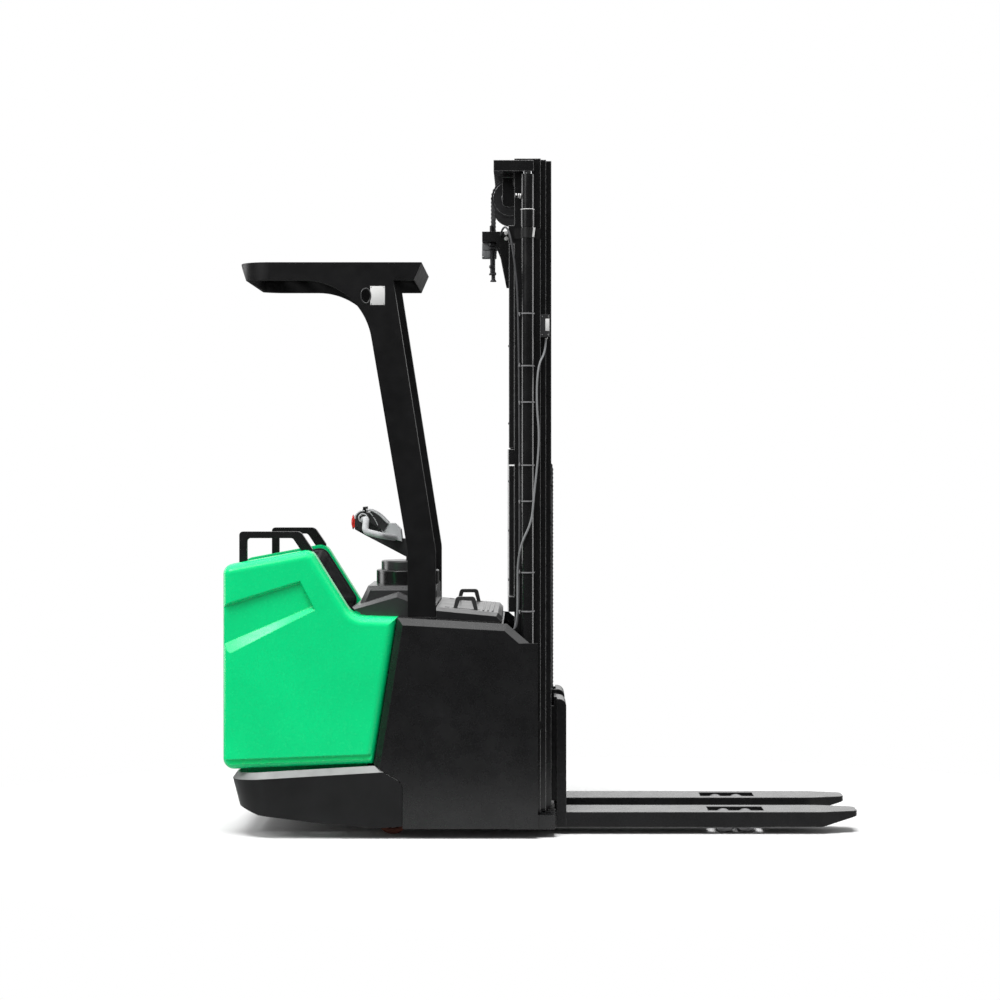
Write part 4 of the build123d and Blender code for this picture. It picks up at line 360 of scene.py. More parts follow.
def machined(name, colour, gloss, lay=NO_LAY, metallic=1.0, grime=0.5):
    """Bare metal with tool marks along one direction and grey oil in its low places."""
    finish = Finish(name)
    rounded = finish.round_edges(0.0008)
    marks = finish.noise(260.0, 3.0, 0.6, finish.stretched(lay))
    oil = finish.remap(finish.noise(30.0, 6.0), 0.45, 0.75, 0, grime)
    finish.use("Base Color", finish.blend(oil, colour, shade(colour, 0.35)))
    finish.polish(marks, gloss, 0.07, 0.12)
    finish.use("Normal", finish.bump(marks, 0.05, 0.0004, rounded))
    return finish.set(Metallic=metallic).material


def rubbery(name, colour, gloss, grain, depth, dust=0.2):
    """Rubber or polyurethane with a dull bloom and small scuffs."""
    finish = Finish(name)
    rounded = finish.round_edges(0.0015)
    bloom = finish.noise(18.0, 8.0, 0.65)
    finish.use("Base Color", finish.blend(finish.remap(bloom, 0.48, 0.78, 0, dust), colour, BLOOM_GREY))
    finish.polish(bloom, gloss, 0.06, 0.08)
    finish.use("Normal", finish.bump(finish.noise(grain, 6.0, 0.6), depth, 0.0008, rounded))
    return finish.set(Specular_IOR_Level=0.25).material


def vinyl(name, colour):
    """Upholstery vinyl: pebbled cells over soft creases."""
    finish = Finish(name)
    pebble = finish.bump(finish.cells(420.0), 0.35, 0.0007)
    finish.use("Base Color", finish.mottled(finish.noise(9.0), 0.3, colour, 0.8, 1.3))
    finish.polish(finish.noise(70.0), 0.49, 0.07, 0.07)
    finish.use("Normal", finish.bump(finish.noise(26.0, 5.0), 0.18, 0.003, pebble))
    return finish.set(Specular_IOR_Level=0.35).material


def clear_sheet(name):
    """Smoked clear sheet with fine wiping marks."""
    finish = Finish(name)
    marks = finish.noise(90.0, 4.0, 0.6, finish.stretched((1.0, 6.0, 1.0)))
    finish.use("Roughness", finish.remap(marks, 0.4, 0.8, 0.05, 0.18))
    finish.use("Base Color", finish.blend(marks, SMOKE_DARK, SMOKE_PALE))
    finish.use("Alpha", finish.remap(marks, 0.3, 0.7, 0.20, 0.26))
    return finish.set(Specular_IOR_Level=0.3).material


FINISHES = {}


def make_finishes(tone, edge):
    """All materials of the truck, by the name of the finish."""
    black, trim = tuple(tone.black), tuple(tone.trim)
    FINISHES.update({
        "paint": worn_paint("black_paint", black, 0.26, edge, coat=0.35),
        # The mast's edges take a large share of light grey: a painted highlight of its rail edges, beside
        # rubbed paint.
        "mast": worn_paint("mast_paint", shade(black, 0.8), 0.26, edge * 1.9, 0.9, (1.0, 1.0, 0.06), 0.6,
                           edge_rub_and_sheen=0.42),
        "barrel": worn_paint("barrel_paint", shade(black, 0.8), 0.25, 0.0, 0.0, coat=0.7, peel=0.005),
        "sheave": machined("sheave_iron", (0.045, 0.045, 0.047), 0.40, metallic=0.5, grime=0.6),
        "bright": machined("bright_zinc", (0.82, 0.82, 0.81), 0.42, metallic=0.35, grime=0.25),
        # Lid, forks and bumper get the lighter grey on up-facing faces: a painted highlight of the overhead
        # light, strongest on the bumper's top ledge, and partly rubbed paint.
        "lid": worn_paint("lid_paint", shade(black, 1.4), 0.34, edge, 0.5, coat=0.3, tread=0.17, edge_rub_and_sheen=0.3),
        "fork": worn_paint("fork_paint", black, 0.26, edge * 2.5, 0.4, (0.06, 1.0, 1.0), 0.0, 0.24,
                           tread=0.16),
        "guard": worn_paint("guard_paint", shade(black, 0.65), 0.40, edge * 1.5, coat=0.05, shine=0.26),
        "skirt": worn_paint("skirt_paint", black, 0.42, edge, coat=0.0, shine=0.28, tread=0.42),
        "green": moulded("green_moulding", tuple(tone.green), 0.24, 900.0, 0.05, 0.006, 0.0, 0.50),
        "trim": moulded("black_moulding", trim, 0.30, 760.0, 0.10, 0.0015, 0.8),
        "drum": moulded("drum_moulding", shade(trim, 0.25), 0.20, 900.0, 0.05, 0.0035, 0.5),
        "grip": moulded("grey_moulding", tuple(tone.grip), 0.34, 820.0, 0.08, 0.005),
        "red": moulded("red_moulding", tuple(tone.red), 0.24, 1200.0, 0.03, 0.0012, 0.4),
        "vinyl": vinyl("pad_vinyl", (0.018, 0.018, 0.019)),
        "steel": machined("machined_steel", (0.50, 0.50, 0.51), 0.30, (1.0, 0.05, 1.0)),
        "zinc": machined("zinc_fastener", (0.58, 0.58, 0.57), 0.32, grime=0.3),
        "dark_bolt": machined("blacked_bolt", (0.045, 0.045, 0.048), 0.40, metallic=0.7),
        "chain": machined("oiled_chain", (0.17, 0.17, 0.175), 0.42, (1.0, 1.0, 0.2), 0.85, 0.8),
        "pin": machined("chain_pin", (0.55, 0.55, 0.56), 0.40, metallic=0.8, grime=0.4),
        "lead": rubbery("dark_sheath", (0.075, 0.075, 0.078), 0.34, 500.0, 0.05, 0.12),
        "chrome": machined("plated_rod", (0.74, 0.75, 0.76), 0.12, (1.0, 1.0, 0.05), grime=0.15),
        "cast": worn_paint("cast_paint", (0.05, 0.05, 0.054), 0.50, edge),
        "tread": rubbery("brown_tread", tuple(tone.tread), 0.46, 300.0, 0.12),
        "drive": rubbery("drive_tread", (0.022, 0.021, 0.020), 0.55, 260.0, 0.2),
        "mat": rubbery("mat_rubber", (0.014, 0.014, 0.014), 0.66, 420.0, 0.3, 0.35),
        "nylon": moulded("nylon_tie", (0.012, 0.012, 0.012), 0.42, 1200.0, 0.05, 0.0004),
        "cable": rubbery("cable_sheath", tuple(tone.cable), 0.42, 500.0, 0.05, 0.12),
        "alloy": machined("cast_alloy", (0.52, 0.53, 0.54), 0.42, grime=0.3),
        "case": moulded("battery_case", (0.05, 0.05, 0.055), 0.5, 500.0, 0.12, 0.002),
        "tie": moulded("grey_tie", (0.22, 0.22, 0.225), 0.36, 1200.0, 0.05, 0.0004),
        "shell": moulded("switch_shell", (0.20, 0.205, 0.21), 0.40, 700.0, 0.10, 0.0015),
        "roller": machined("roller_steel", (0.30, 0.30, 0.305), 0.34, (0.2, 1.0, 1.0), 0.9, 0.7),
        "plate": moulded("pale_plate", (0.72, 0.72, 0.71), 0.42, 1500.0, 0.03, 0.0006),
        "clear": clear_sheet("clear_screen"),
    })


NODE_FINISH = {
    "paint": ("chassis_frame", "support_legs", "side_panels", "platform_floor", "grab_handles",
              "chain_anchors"),
    "guard": ("overhead_guard",),
    "skirt": ("rear_bumper",),
    "fork": ("forks", "carriage"),
    "lid": ("battery_cover",),
    "mast": ("outer_mast", "middle_mast", "inner_mast"),
    "barrel": ("lift_cylinders", "free_lift_cylinder"),
    "sheave": ("main_sheaves", "free_lift_sheaves"),
    "green": ("cover_right", "cover_left"),
    "trim": ("console", "cover_handles", "tiller_arm", "mast_sensors"),
    "drum": ("turret_base", "thumb_control"),
    "grip": ("tiller_grips",),
    "red": ("emergency_stop", "belly_button"),
    "steel": ("carriage_rollers_lower", "carriage_rollers_upper", "middle_mast_rollers", "inner_mast_rollers",
              "key_switch"),
    "chain": ("main_chain_rear", "main_chain_front", "free_chain_rear", "free_chain_front"),
    "chrome": ("lift_rods", "free_lift_rod"),
    "cast": ("drive_unit", "pump_unit", "bogie_right", "bogie_left", "caster_fork_right", "caster_fork_left"),
    "tread": ("caster_wheel_right", "caster_wheel_left"),
    "roller": ("load_roller_right_rear", "load_roller_right_front", "load_roller_left_rear",
               "load_roller_left_front"),
    "drive": ("drive_wheel",),
    "mat": ("floor_mat",),
    "nylon": ("cylinder_bands",),
    "cable": ("mast_cables",),
    "alloy": ("motor_controller",),
    "case": ("battery_pack",),
    "vinyl": ("side_pads",),
    "clear": ("mast_screen",),
}


class STACKER_OT_finishes(bpy.types.Operator):
    """Give every frame node its finish"""

    bl_idname = "stacker.finishes"
    bl_label = "Finishes"

    def execute(self, context):
        make_finishes(context.scene.stacker_colours, context.scene.stacker_sizes.edge)
        for finish, nodes in NODE_FINISH.items():
            for node in nodes:
                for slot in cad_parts[node].material_slots:
                    slot.material = FINISHES[finish]
        return {"FINISHED"}


# Angles in degrees above which an edge stays sharp, and the shapes that the pieces are made of
ROUND_CREASE = 80
SOFT_CREASE = 60
HARD_CREASE = 35


def mesh_from(bm, name):
    """Mesh of a bmesh, which is freed."""
    bmesh.ops.recalc_face_normals(bm, faces=bm.faces)
    mesh = bpy.data.meshes.new(name)
    bm.to_mesh(mesh)
    bm.free()
    return mesh


def shown(name, bm, body, finish, crease=HARD_CREASE):
    """A finished bmesh as a piece that rides on a body, or on none where it is blended between two."""
    mesh = mesh_from(bm, name)
    piece = bpy.data.objects.new(name, mesh)
    bpy.context.scene.collection.objects.link(piece)
    mesh.materials.append(FINISHES[finish])
    mesh.shade_smooth()
    mesh.set_sharp_from_angle(angle=math.radians(crease))
    if body:
        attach(piece, body)
    return piece


def around(count):
    """Angles of an even ring."""
    return [2 * math.pi * k / count for k in range(count)]


def on_side(point, side):
    """A point of the left-hand side, taken over to the given side."""
    return Vector((point[0], side * point[1], point[2]))


def outward(side):
    """Direction away from the middle plane on a side."""
    return Vector((0, side, 0))


def facing(direction, at):
    """Placement whose own +Z points along direction."""
    turn = UP.rotation_difference(Vector(direction))
    return Matrix.Translation(Vector(at)) @ turn.to_matrix().to_4x4()


def upright(at):
    """Placement whose own (x, y) is (x, z) of the truck, with its depth to the right."""
    return Matrix.Translation(at) @ Matrix.Rotation(math.pi / 2, 4, "X")


def bridge(bm, ring, after):
    """Band of faces between two rings of as many points."""
    for n in range(len(ring)):
        m = (n + 1) % len(ring)
        bm.faces.new([ring[n], ring[m], after[m], after[n]])


def add_lathe(bm, profile, place, turns=24, hollow=False):
    """Solid of revolution: (radius, height) from one end to the other, or all round a hollow ring."""
    rings = []
    for radius, height in profile:
        if radius < 1e-6:
            rings.append([bm.verts.new(place @ Vector((0, 0, height)))])
            continue
        rings.append([bm.verts.new(place @ Vector((radius * math.cos(a), radius * math.sin(a), height)))
                      for a in around(turns)])
    for low, high in zip(rings, rings[1:] + rings[:1] if hollow else rings[1:]):
        for k in range(turns):
            n = (k + 1) % turns
            corners = [low[k % len(low)], low[n % len(low)], high[n % len(high)], high[k % len(high)]]
            bm.faces.new(list(dict.fromkeys(corners)))
    for ring in (rings[0], rings[-1]):
        if len(ring) > 2 and not hollow:
            bm.faces.new(ring)


def add_prism(bm, outline, place, depth):
    """Straight solid on a flat outline of (x, y) points."""
    low = [bm.verts.new(place @ Vector((x, y, 0))) for x, y in outline]
    high = [bm.verts.new(place @ Vector((x, y, depth))) for x, y in outline]
    bm.faces.new(low[::-1])
    bm.faces.new(high)
    bridge(bm, low, high)


def add_block(bm, low, high, bevel):
    """Box between two corners with bevelled edges."""
    size = [b - a for a, b in zip(low, high)]
    middle = Vector([(a + b) / 2 for a, b in zip(low, high)])
    place = Matrix.Translation(middle) @ Matrix.Diagonal((*size, 1.0))
    made = bmesh.ops.create_cube(bm, size=1.0, matrix=place)
    edges = list(dict.fromkeys(edge for vert in made["verts"] for edge in vert.link_edges))
    bmesh.ops.bevel(bm, geom=edges, offset=bevel, segments=2, profile=0.5, affect="EDGES")


def add_loop(bm, loop, radius, sides=8):
    """Closed round cord along a loop of points in an upright plane."""
    rings = []
    for k, point in enumerate(loop):
        along = (loop[(k + 1) % len(loop)] - loop[k - 1]).normalized()
        across = along.cross(LEFTWARD).normalized()
        rings.append([bm.verts.new(point + radius * (across * math.cos(a) + LEFTWARD * math.sin(a)))
                      for a in around(sides)])
    for ring, after in zip(rings, rings[1:] + rings[:1]):
        bridge(bm, ring, after)


def oval(centre, half_x, half_z, count):
    """Loop of points round a centre in an upright plane along the truck."""
    return [Vector((centre.x + half_x * math.cos(a), centre.y, centre.z + half_z * math.sin(a)))
            for a in around(count)]


def add_tube(bm, points, radius, sides=10):
    """Round rod along an open line of points, with its bends rounded by three passes of corner cutting."""
    line = [Vector(p) for p in points]
    for _ in range(3):
        cut = [line[0]]
        for a, b in zip(line, line[1:]):
            cut += [a.lerp(b, 0.25), a.lerp(b, 0.75)]
        line = cut + [line[-1]]
    rings = []
    for k, point in enumerate(line):
        along = (line[min(k + 1, len(line) - 1)] - line[max(k - 1, 0)]).normalized()
        across = along.cross(LEFTWARD).normalized()
        lift = along.cross(across)
        rings.append([bm.verts.new(point + radius * (across * math.cos(a) + lift * math.sin(a)))
                      for a in around(sides)])
    for ring, after in zip(rings, rings[1:]):
        bridge(bm, ring, after)
    bm.faces.new(rings[0])
    bm.faces.new(rings[-1])


# Heads of fasteners of size 1: the sides and the profile of each turned part
BOLT = (
    (20, ((1.00, 0), (1.08, 0.048), (1.08, 0.16), (0.90, 0.16))),
    (6, ((0.93, 0.16), (0.93, 0.66), (0.78, 0.78))),
    (20, ((0.74, 0.76), (0.70, 0.81), (0, 0.83))))
SCREW = (
    (20, ((1.00, 0), (1.00, 0.20), (0.86, 0.50), (0.50, 0.62))),
    (6, ((0.46, 0.63), (0.40, 0.635), (0.30, 0.52))))


def add_head(bm, parts, at, direction, size):
    """Bolt or screw head that stands on a face at a point."""
    place = facing(direction, at)
    for sides, profile in parts:
        add_lathe(bm, [(size * radius, size * height) for radius, height in profile], place, sides)


def add_nut(bm, at, direction, size, height):
    """Chamfered hexagon nut."""
    cut = size * 0.12
    profile = [(size * 0.85, 0), (size, cut), (size, height - cut), (size * 0.85, height)]
    add_lathe(bm, profile, facing(direction, at), 6)


def add_thread(bm, at, direction, radius, length, pitch):
    """Threaded rod as a stack of ridges."""
    profile = []
    for k in range(int(length / pitch)):
        profile += [(radius * 0.88, k * pitch), (radius, (k + 0.5) * pitch)]
    add_lathe(bm, profile + [(radius * 0.8, length)], facing(direction, at), 14)


# Chains: where their sheaves lie, read off the frame, and the shares of their parts
LACING = 7
PLATE_SHARE = 0.9
WAIST_SHARE = 0.36
PIN_SHARE = 0.3
PIN_PROFILE = ((0.7, 0), (1.0, 0.04), (1.0, 0.96), (0.7, 1.0))


def axle(node):
    """Point on a sheave's axle in the truck's middle plane."""
    low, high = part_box(node)
    return Vector(((low.x + high.x) / 2, 0, (low.z + high.z) / 2))


MAIN_SHEAVE = axle("main_sheaves")
FREE_SHEAVE = axle("free_lift_sheaves")


def plate_outline(pitch, height):
    """Side view of one link plate: two round ends and a waist between the pins."""
    radius, waist = height / 2, height * WAIST_SHARE
    points = []
    for middle, start in ((pitch / 2, -90), (-pitch / 2, 90)):
        for step in range(5):
            angle = math.radians(start + 45 * step)
            points.append((middle + radius * math.cos(angle), radius * math.sin(angle)))
        points.append((0, waist if middle > 0 else -waist))
    return points


def add_chain(bm, pins, across, width, height):
    """Leaf chain through a line of pins: plates laced in turn, and a riveted pin at each joint."""
    thick = width / (LACING + 1)
    for index, (here, there) in enumerate(zip(pins, pins[1:])):
        along = (there - here).normalized()
        up = along.cross(LEFTWARD)
        middle = (here + there) / 2
        turn = Matrix((along, up, along.cross(up))).transposed().to_4x4()
        for layer in range(index % 2, LACING, 2):
            y = across - width / 2 + thick * (layer + 0.55)
            place = Matrix.Translation(Vector((middle.x, y, middle.z))) @ turn
            add_prism(bm, plate_outline((there - here).length, height), place, thick * PLATE_SHARE)
    head = height * PIN_SHARE
    for pin in pins:
        before = len(bm.faces)
        add_lathe(bm, [(head * radius, width * rise) for radius, rise in PIN_PROFILE],
                  facing(LEFTWARD, (pin.x, across - width / 2, pin.z)), 8)
        bm.faces.ensure_lookup_table()
        for face in bm.faces[before:]:
            face.material_index = 1


def straight_pins(x, z0, z1, pitch):
    """Pins of a straight run, spaced as near to the pitch as its length allows."""
    count = max(2, round(abs(z1 - z0) / pitch))
    return [Vector((x, 0, z0 + (z1 - z0) * k / count)) for k in range(count + 1)]


def wrap_pins(centre, radius, pitch):
    """Pins of the half turn over a sheave, from its rear side to its front side."""
    count = round(math.pi * radius / pitch)
    angles = [math.pi * (1 - k / count) for k in range(count + 1)]
    return [centre + Vector((radius * math.cos(a), 0, radius * math.sin(a))) for a in angles]


def chain_piece(name, pins, reach, size, body=None):
    """Both chains of a pair, reach off the middle plane, with bright pins."""
    bm = bmesh.new()
    for _, side in SIDES:
        add_chain(bm, pins, side * reach, size.chain_width, size.link_height)
    piece = shown(name, bm, body, "chain")
    piece.data.materials.append(FINISHES["pin"])
    return piece


class STACKER_OT_chains(bpy.types.Operator):
    """Leaf chains over the sheaves of both lift stages"""

    bl_idname = "stacker.chains"
    bl_label = "Chains"

    def execute(self, context):
        self.main_chains(context.scene.stacker_sizes)
        self.carriage_chains(context.scene.stacker_sizes)
        return {"FINISHED"}

    def lines(self, rear_node, front_node, sheave, size):
        """Reach off the middle plane, radius on the sheave, rear and front x, and the two ends' heights."""
        rear_low, rear_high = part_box(rear_node)
        front_low, front_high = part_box(front_node)
        radius = front_high.x - size.link_height / 2 - sheave.x
        return (rear_high.y - size.chain_width / 2, radius, sheave.x - radius, sheave.x + radius, rear_low.z,
                front_low.z)

    def main_chains(self, size):
        pitch = size.chain_pitch
        reach, radius, rear_x, front_x, foot, end = self.lines(
            "main_chain_rear", "main_chain_front", MAIN_SHEAVE, size)
        pins = straight_pins(rear_x, foot, MAIN_SHEAVE.z, pitch)
        rear = chain_piece("main_chain_rear_links", pins, reach, size)
        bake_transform(rear)
        pins = wrap_pins(MAIN_SHEAVE, radius, pitch)
        wrap = chain_piece("main_chain_wrap_links", pins, reach, size, "middle_mast")
        pins = straight_pins(front_x, MAIN_SHEAVE.z, end, pitch)
        front = chain_piece("main_chain_front_links", pins, reach, size)
        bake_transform(front)
        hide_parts("main_chain_rear")
        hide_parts("main_chain_front")
        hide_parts("main_chain_front")

    def carriage_chains(self, size):
        """The links beside the sheave stay with it, and the run below them is a piece of its own, with a mesh
        of its own.
        """
        pitch = size.chain_pitch
        reach, radius, rear_x, front_x, foot, end = self.lines(
            "free_chain_rear", "free_chain_front", FREE_SHEAVE, size)
        pins = straight_pins(rear_x, foot, FREE_SHEAVE.z, pitch)
        rear = chain_piece("free_chain_rear_links", pins, reach, size)
        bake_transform(rear)
        clear_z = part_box("free_lift_sheaves")[0].z - size.link_height
        pins = wrap_pins(FREE_SHEAVE, radius, pitch)
        pins += straight_pins(front_x, FREE_SHEAVE.z, clear_z, pitch)[1:]
        wrap = chain_piece("free_chain_wrap_links", pins, reach, size, "free_lift_rod")
        pins = straight_pins(front_x, clear_z, end, pitch)
        front = chain_piece("free_chain_front_links", pins, reach, size, "free_lift_rod")
        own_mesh(front)
        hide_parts("free_chain_rear")
        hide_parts("free_chain_front")
        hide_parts("free_chain_front")


# Sensor leads: listed routes from the switch and the sensor down the lift cylinder to the bulkhead
SWITCH_LEAD = (
    (-0.165, -0.190, 2.372), (-0.165, -0.232, 2.378), (-0.148, -0.292, 2.402), (-0.128, -0.336, 2.372),
    (-0.111, -0.343, 2.272), (-0.0914, -0.342, 2.085), (-0.0874, -0.342, 0.850), (-0.116, -0.336, 0.800),
    (-0.153, -0.336, 0.800))
SENSOR_LEAD = (
    (0.014, -0.302, 1.961), (0.014, -0.302, 1.905), (-0.018, -0.352, 1.850), (-0.024, -0.362, 1.700),
    (-0.010, -0.366, 1.555), (-0.034, -0.374, 1.330), (-0.042, -0.376, 1.235), (-0.084, -0.376, 1.150),
    (-0.097, -0.352, 1.070), (-0.0974, -0.342, 0.980), (-0.0978, -0.341, 0.850), (-0.120, -0.322, 0.786),
    (-0.153, -0.322, 0.786))
LEADS = (("switch_lead", SWITCH_LEAD, 1.76, "lead"), ("sensor_lead", SENSOR_LEAD, 1.24, "cable"))


class STACKER_OT_cables(bpy.types.Operator):
    """Sensor leads tied to the right-hand lift cylinder"""

    bl_idname = "stacker.cables"
    bl_label = "Sensor leads"

    def execute(self, context):
        for name, route, length, finish in LEADS:
            self.lead(name, route, length, finish, context.scene.stacker_sizes.cable)
        return {"FINISHED"}

    def lead(self, name, route, length, finish, thickness):
        data = bpy.data.curves.new(name, "CURVE")
        data.dimensions, data.bevel_depth, data.bevel_resolution = "3D", thickness / 2, 4
        data.use_fill_caps = True
        data.resolution_u = 12
        spline = data.splines.new("NURBS")
        spline.points.add(len(route) - 1)
        for point, place in zip(spline.points, route):
            point.co = (*place, 1.0)
        spline.order_u = 3
        spline.use_endpoint_u = True
        data.materials.append(FINISHES[finish])
        piece = bpy.data.objects.new(name, data)
        bpy.context.scene.collection.objects.link(piece)
        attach(piece, "chassis")
        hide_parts("mast_cables")


# Padded panels: the mesh's grain, the room for the filling and how the cloth is blown up
PAD_VOXEL = 0.006
PAD_SLACK = 0.006
PAD_SWELL = 0.0055
PAD_PRESSURE = 4.0
PAD_FRAMES = 20
PAD_REACH = 0.014


def applied(piece):
    """Put the piece's modifiers into its mesh."""
    graph = bpy.context.evaluated_depsgraph_get()
    mesh = bpy.data.meshes.new_from_object(piece.evaluated_get(graph))
    old, piece.data = piece.data, mesh
    piece.modifiers.clear()
    bpy.data.meshes.remove(old)


def pad_blank(side):
    """One pad of the frame, thinned towards the cover that carries it."""
    bm = bmesh.new()
    bm.from_mesh(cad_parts["side_pads"].data)
    bmesh.ops.delete(bm, geom=[v for v in bm.verts if v.co.y * side < 0], context="VERTS")
    bmesh.ops.remove_doubles(bm, verts=bm.verts, dist=1e-5)
    wall = max(abs(v.co.y) for v in bm.verts)
    front = min(abs(v.co.y) for v in bm.verts)
    middle = sum((v.co for v in bm.verts), Vector()) / len(bm.verts)
    for vert in bm.verts:
        out = Vector((vert.co.x - middle.x, 0, vert.co.z - middle.z))
        vert.co += out.normalized() * PAD_REACH
        depth = (wall - abs(vert.co.y)) / (wall - front)
        vert.co.y = side * (wall - depth * (wall - front - PAD_SLACK))
    return bm, wall


def swell(piece, wall):
    """Cloth inflated from the blank, held on the wall, with no point moved further than the swell."""
    held = piece.vertex_groups.new(name="held")
    rest = [v.co.copy() for v in piece.data.vertices]
    held.add([k for k, co in enumerate(rest) if abs(co.y) > wall - PAD_VOXEL], 1.0, "REPLACE")
    cloth = piece.modifiers.new("filling", "CLOTH")
    cloth.settings.use_pressure = True
    cloth.settings.uniform_pressure_force = PAD_PRESSURE
    cloth.settings.effector_weights.gravity = 0.0
    cloth.settings.vertex_group_mass = held.name
    cloth.settings.quality = 6
    for step in range(1, PAD_FRAMES + 1):
        bpy.context.scene.frame_set(step)
    applied(piece)
    for vert, before in zip(piece.data.vertices, rest):
        move = vert.co - before
        if move.length > PAD_SWELL:
            vert.co = before + move.normalized() * PAD_SWELL
    bpy.context.scene.frame_set(1)


def edge_loop(points, inset):
    """Outline of a flat set of (x, z) points, drawn in towards its middle."""
    hull = [Vector(points[k]) for k in geometry.convex_hull_2d(points)]
    middle = sum(hull, Vector((0, 0))) / len(hull)
    return [middle + (p - middle) * (1 - inset / (p - middle).length) for p in hull]


class STACKER_OT_pads(bpy.types.Operator):
    """Vinyl pads on the inner faces of the covers"""

    bl_idname = "stacker.pads"
    bl_label = "Side pads"

    def execute(self, context):
        for name, side in SIDES:
            blank, wall = pad_blank(side)
            outline = [(v.co.x, v.co.z) for v in blank.verts]
            pad = bpy.data.objects.new("pad_" + name, mesh_from(blank, "pad_" + name))
            context.scene.collection.objects.link(pad)
            remesh = pad.modifiers.new("even", "REMESH")
            remesh.mode, remesh.voxel_size = "VOXEL", PAD_VOXEL
            applied(pad)
            swell(pad, wall)
            soften = pad.modifiers.new("soften", "SMOOTH")
            soften.factor, soften.iterations = 0.5, 4
            applied(pad)
            pad.data.materials.append(FINISHES["vinyl"])
            pad.data.shade_smooth()
            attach(pad, "chassis")
            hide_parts("side_pads")
            self.piping(name, side, outline, wall, context.scene.stacker_sizes.piping)
        return {"FINISHED"}

    def piping(self, name, side, outline, wall, thickness):
        y = side * (wall - thickness)
        loop = [Vector((p.x, y, p.y)) for p in edge_loop(outline, -thickness * 0.1)]
        bm = bmesh.new()
        add_loop(bm, loop, thickness / 2)
        shown("pad_piping_" + name, bm, "chassis", "vinyl", ROUND_CREASE)


# Fittings on the mast. Points are the left-hand side's where both sides have one. Profiles are
# (radius, height), nuts are (drop below the bracket, size, height) and the strips' screws are shares of a
# strip's length
CHAIN_BOLT = Vector((-0.1994, 0.160, 2.349))
ANCHOR_BOLTS = ((-0.1425, 0.190, 2.3825), (-0.1425, 0.190, 2.3610))
ANCHOR_BOLT_SIZE = 0.0078
THREAD_DROP, THREAD_RADIUS, THREAD_LENGTH, THREAD_PITCH = 0.128, 0.0086, 0.112, 0.0035
ANCHOR_NUTS = ((0.0165, 0.0145, 0.0160), (0.0300, 0.0140, 0.0115), (0.1040, 0.0120, 0.0120))
THREAD_END_DROP = 0.131
THREAD_END = ((0.0125, 0), (0.0130, 0.002), (0.0100, 0.008), (0.0070, 0.010))
BLEED_AT = Vector((-0.083, 0.342, 2.512))
BLEED_DIRECTION = (-1, 0, 0.12)
BLEED_SCREW = (
    (0.0100, 0), (0.0108, 0.001), (0.0108, 0.005), (0.0080, 0.0062), (0.0080, 0.0075), (0.0102, 0.0085),
    (0.0102, 0.0120), (0.0070, 0.0135), (0.0070, 0.0160), (0.0092, 0.0172), (0.0092, 0.0225),
    (0.0060, 0.0245))
GLAND_AT = Vector((-0.058, 0.342, 2.457))
GLAND_RING = ((0.0268, 0), (0.0278, 0.0006), (0.0282, 0.0018), (0.0278, 0.0030), (0.0268, 0.0036))
CLAMP_AT = Vector((-0.040, 0.3725, 2.348))
CLAMP_FOLD = ((0, 0), (0.008, 0.001), (0.0125, 0.036), (0.0045, 0.038))
CLAMP_THICK = {-1: 0.003, 1: 0.004}
CYLINDER_X, CYLINDER_Y = -0.058, -0.342
TIE_Z = (2.051, 1.846, 1.704, 1.457, 1.316, 1.037, 0.885)
TIE_R = 0.0272
TIE_BAND = ((-0.0008, -0.0026), (0.0007, -0.0026), (0.0007, 0.0026), (-0.0008, 0.0026))
TIE_LOCK_X = CYLINDER_X - TIE_R - 0.0045
TIE_LOCK = ((-0.004, -0.008, -0.0045), (0.004, 0.002, 0.0045))
TIE_TAIL_DROPS = (0.010, 0.003)
TIE_TAIL = ((-0.0022, 0), (0.0022, 0), (0.0016, 0.014), (-0.0016, 0.014))
STRIP_Z = ((0.945, 1.455), (1.525, 2.327))
STRIP_OUTLINE = (
    (-0.1315, 0.3138), (-0.1300, 0.3150), (-0.1105, 0.3150), (-0.1105, 0.3120), (-0.1285, 0.3120),
    (-0.1285, 0.2905), (-0.1315, 0.2905))
STRIP_SCREW_X, STRIP_SCREW_Y, STRIP_SCREW_SIZE = -0.1315, 0.3030, 0.0045
STRIP_SCREWS = (0.12, 0.50, 0.88)
GUSSET_Y, GUSSET_THICK = 0.262, 0.010
GUSSET_OUTLINE = ((-0.1150, 2.6065), (-0.1150, 2.5650), (-0.0890, 2.5350), (-0.0890, 2.6065))
BEAD_SHARES = (0.93, 0.50)
BEAD = ((-0.0035, 0), (-0.0025, 0.0011), (-0.0010, 0.0011), (0, 0))
HUB_CAP = ((0.30, 0), (0.30, 0.0009), (0.24, 0.0013), (0, 0.0013))

# Height switch and stage sensor, on the right-hand side only; blocks are (low corner, high corner, bevel)
SWITCH_SHELL = (
    ((-0.2405, -0.1500, 2.2866), (-0.1825, -0.1035, 2.3180), 0.003),
    ((-0.2400, -0.1495, 2.3192), (-0.1830, -0.1040, 2.3486), 0.003),
    ((-0.2180, -0.1525, 2.2900), (-0.2050, -0.1490, 2.3150), 0.001))
SWITCH_SCREWS = (
    (-0.2350, -0.1495, 2.3420), (-0.2350, -0.1500, 2.2920),
    (-0.1880, -0.1495, 2.3420), (-0.1880, -0.1500, 2.2920))
SWITCH_SCREW_SIZE = 0.0030
SWITCH_GLAND_AT = (-0.196, -0.127, 2.2866)
SWITCH_GLAND = ((0.0070, 0), (0.0075, 0.002), (0.0075, 0.007), (0.0050, 0.009), (0.0050, 0.014))
SENSOR_PLATE = ((0.0122, -0.3159, 1.9850), (0.0278, -0.3150, 2.0330), 0.0004)
